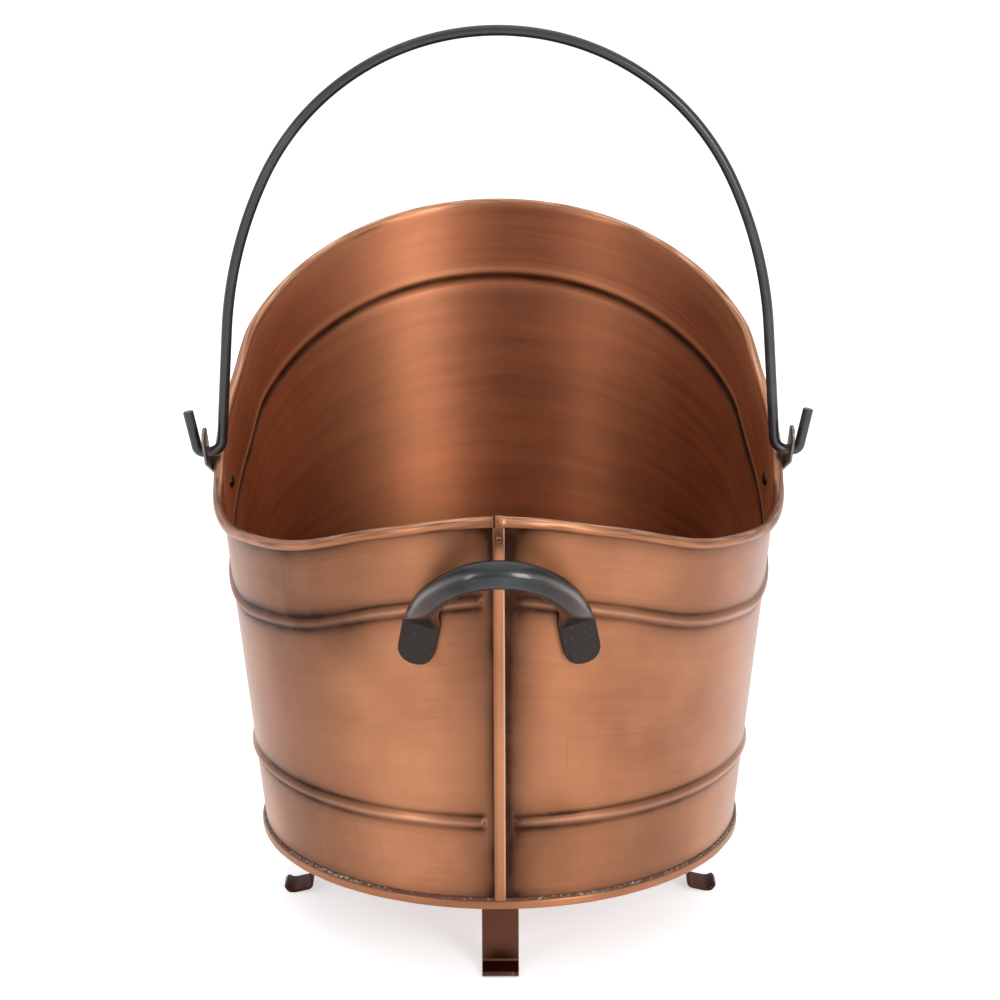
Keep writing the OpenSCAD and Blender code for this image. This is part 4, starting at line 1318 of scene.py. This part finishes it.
class LOGBUCKET_OT_handle(bpy.types.Operator):
    """Build the forged tipping handle and the screws that hold it from inside"""

    bl_idname = "log_bucket.handle"
    bl_label = "Tipping handle"

    def execute(self, context):
        b, g = bucket(), grip_sizes()
        crease, down, wide, out = pad_directions()
        sides = 40

        def flat_round(p, u, v, a, c, power):
            """Ring with half widths a along u and c along v: round at power 1, and boxier below it."""
            ring = []
            for k in range(sides):
                t = 2 * math.pi * (k + 0.5) / sides
                x, y = math.cos(t), math.sin(t)
                across, through = abs(x) ** power, abs(y) ** power
                ring.append(p + u * a * math.copysign(across, x) + v * c * math.copysign(through, y))
            return ring

        rings, pad, worn = [], [], []
        # Power of the pad's section, and of the round end of its outline
        boxy, squarish = 0.32, 2 / 2.5
        round_r, steps = g.pad_w / 2, 14
        outline = []
        for k in range(steps):
            t = math.radians(90 * (k + 0.2) / steps)
            past = g.pad_len - round_r * (1 - math.cos(t) ** squarish)
            outline.append((past, round_r * math.sin(t) ** squarish))
        outline += [((g.pad_len - round_r) * (1 - k / steps), round_r) for k in range(steps)]
        for k, (d, half) in enumerate(outline):
            # The hammer left a ridge below the crease, and the end of the pad is rounded off
            ridge = 0.35 * MM * bell(d - 0.8 * MM, 0.8 * MM)
            shrink = 1 if k else 0.8
            rings.append(flat_round(crease + down * d, wide, out, half, (g.pad_t / 2 + ridge) * shrink, boxy))
            pad += [1.0] * sides
            worn += [0.0] * sides
        arch_up = Vector((0, -math.sin(g.tilt), math.cos(g.tilt)))
        normal = Vector((0, -math.cos(g.tilt), -math.sin(g.tilt)))
        arch_steps = 48
        # The pad's section turns round over this much of the arch
        rounding = math.radians(30)
        for k in range(arch_steps + 1):
            t = math.pi / 2 * k / arch_steps
            p = Vector((crease.x * math.cos(t), crease.y, crease.z)) + arch_up * g.arch * math.sin(t)
            s = 1 - (1 - min(1, t / rounding)) ** 2
            lean = (Vector((g.arch * math.cos(t), 0, 0)) + arch_up * crease.x * math.sin(t)).normalized()
            u = wide.lerp(lean, s).normalized()
            v = out.lerp(normal, s)
            v = (v - u * u.dot(v)).normalized()
            a = g.pad_w + (g.thick - g.pad_w) * s
            c = g.pad_t + (g.thick - g.pad_t) * s
            rings.append(flat_round(p, u, v, a / 2, c / 2, boxy + (1 - boxy) * s))
            pad += [1 - smooth_step(0, 0.08, s)] * sides
            # Painted highlight along the shoulders' outer edge, a little below the widest point
            shoulder, edge_at = bell(math.degrees(t) - 45, 28), 0.32
            turns = [2 * math.pi * (i + 0.5) / sides - edge_at for i in range(sides)]
            worn += [shoulder * bell(math.atan2(math.sin(e), math.cos(e)), 0.18) for e in turns]
        mirrored = [[Vector((-p.x, p.y, p.z)) for p in ring] for ring in rings[-2::-1]]
        back = range(len(rings) - 2, -1, -1)
        pad += [value for i in back for value in pad[i * sides : (i + 1) * sides]]
        worn += [value for i in back for value in worn[i * sides : (i + 1) * sides]]
        rings += mirrored
        around = distances(rings[0])
        along = distances([ring[0] for ring in rings], closed=False)
        marks = {"pad": pad, "worn": worn}
        handle = mesh_piece("forged_grip", *loft(rings, around, along, caps=True), marks, sharp=48)
        settle(handle, "bucket", "gunmetal", finish("Blued forging"), "tipping_handle")

        below_middle, screw_len = 1 * MM, 3.4 * MM
        basis = Matrix((wide, -down, out)).transposed().to_4x4()
        places = []
        for side in (-1, 1):
            for y in (-1, 1):
                on_pad = g.pad_len / 2 + below_middle + y * g.pair_pitch / 2
                at = crease - out * (g.pad_t / 2 + SEAT) + down * on_pad
                places.append(Matrix.Diagonal((side, 1, 1, 1)) @ Matrix.Translation(at) @ basis)
        ends = (-b.sheet_t - PASS, screw_len)
        screws = fasteners_piece("screw_heads", places, *ends, SCREW_HEAD, both=False)
        settle(screws, "bucket", "steel", finish("Rolled steel"), "handle_screws")
        return {"FINISHED"}


class LOGBUCKET_OT_rim_wire(bpy.types.Operator):
    """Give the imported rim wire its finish"""

    bl_idname = "log_bucket.rim_wire"
    bl_label = "Rim wire"

    def execute(self, context):
        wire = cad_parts["rim_wire"]
        for slot in wire.material_slots:
            slot.material = finish("Rolled steel")
        if not wire.material_slots:
            raise RuntimeError("the rim wire has no material slot")
        return {"FINISHED"}


class LOGBUCKET_OT_stage(bpy.types.Operator):
    """Set up the floor, the lamps, the world and the camera"""

    bl_idname = "log_bucket.stage"
    bl_label = "Stage"

    def execute(self, context):
        scene = context.scene
        far = 30
        corners = [(-far, -far, 0), (far, -far, 0), (far, far, 0), (-far, far, 0)]
        floor = mesh_piece("floor", corners, [(0, 1, 2, 3)])
        floor.data.materials.append(finish("Painted floor"))

        world = bpy.data.worlds.new("Pale room")
        world.use_nodes = True
        tree = world.node_tree
        background = tree.nodes["Background"]
        # The camera sees a white room, which lights the bucket at a lower level
        seen = add(tree, "LightPath").node.outputs["Is Camera Ray"]
        tint = {0: seen, 6: ROOM_TINT, 7: (1, 1, 1, 1)}
        tint = add(tree, "Mix", tint, 2, data_type="RGBA")
        level = add(tree, "Mix", {0: seen, 2: ROOM_LEVEL, 3: 1.0})
        tree.links.new(tint, background.inputs["Color"])
        tree.links.new(level, background.inputs["Strength"])
        scene.world = world

        for name, (at, width, height, power) in SOFTBOXES.items():
            lamp = bpy.data.lights.new(name, "AREA")
            lamp.shape, lamp.size, lamp.size_y, lamp.energy = "RECTANGLE", width, height, power
            holder = bpy.data.objects.new(name, lamp)
            holder.location = at
            holder.rotation_euler = (LAMP_AIM - Vector(at)).to_track_quat("-Z", "Y").to_euler()
            scene.collection.objects.link(holder)

        lens = bpy.data.cameras.new("Photograph view")
        lens.lens, lens.sensor_width, lens.shift_x = 99.3, 36, 0.0015
        lens.clip_start, lens.clip_end = 0.05, 100
        camera = bpy.data.objects.new("Photograph view", lens)
        turn = (CAMERA_AIM - CAMERA_AT).to_track_quat("-Z", "Y").to_matrix().to_4x4()
        camera.matrix_world = Matrix.Translation(CAMERA_AT) @ turn @ Matrix.Rotation(CAMERA_ROLL, 4, "Z")
        scene.collection.objects.link(camera)
        scene.camera = camera
        scene.view_settings.view_transform = "Standard"
        return {"FINISHED"}


PIECES = (
    LOGBUCKET_OT_wall,
    LOGBUCKET_OT_seam,
    LOGBUCKET_OT_base,
    LOGBUCKET_OT_solder,
    LOGBUCKET_OT_feet,
    LOGBUCKET_OT_ears,
    LOGBUCKET_OT_bail,
    LOGBUCKET_OT_handle,
    LOGBUCKET_OT_rim_wire,
    LOGBUCKET_OT_stage,
)


class LOGBUCKET_PT_pieces(bpy.types.Panel):
    """Lists the bucket's pieces"""

    bl_idname = "LOGBUCKET_PT_pieces"
    bl_label = "Log Bucket"
    bl_space_type = "VIEW_3D"
    bl_region_type = "UI"
    bl_category = "Log Bucket"

    def draw(self, context):
        for piece in PIECES:
            self.layout.operator(piece.bl_idname)
        for group in SETTINGS:
            box = self.layout.box()
            for name in SETTINGS[group].__annotations__:
                box.prop(getattr(context.scene, group), name)


SETTINGS = {
    "log_bucket_sizes": BucketSizes,
    "log_bucket_feet": FootSizes,
    "log_bucket_ears": EarSizes,
    "log_bucket_bail": BailSizes,
    "log_bucket_grip": GripSizes,
    "log_bucket_colours": BucketColours,
}


def register():
    for group, kind in SETTINGS.items():
        bpy.utils.register_class(kind)
        setattr(bpy.types.Scene, group, PointerProperty(type=kind))
    for piece in (*PIECES, LOGBUCKET_PT_pieces):
        bpy.utils.register_class(piece)


def unregister():
    for piece in reversed((*PIECES, LOGBUCKET_PT_pieces)):
        bpy.utils.unregister_class(piece)
    for group, kind in reversed(SETTINGS.items()):
        delattr(bpy.types.Scene, group)
        bpy.utils.unregister_class(kind)


def main():
    register()
    for piece in PIECES:
        family, name = piece.bl_idname.split(".")
        getattr(getattr(bpy.ops, family), name)()


if __name__ == "__main__":
    main()
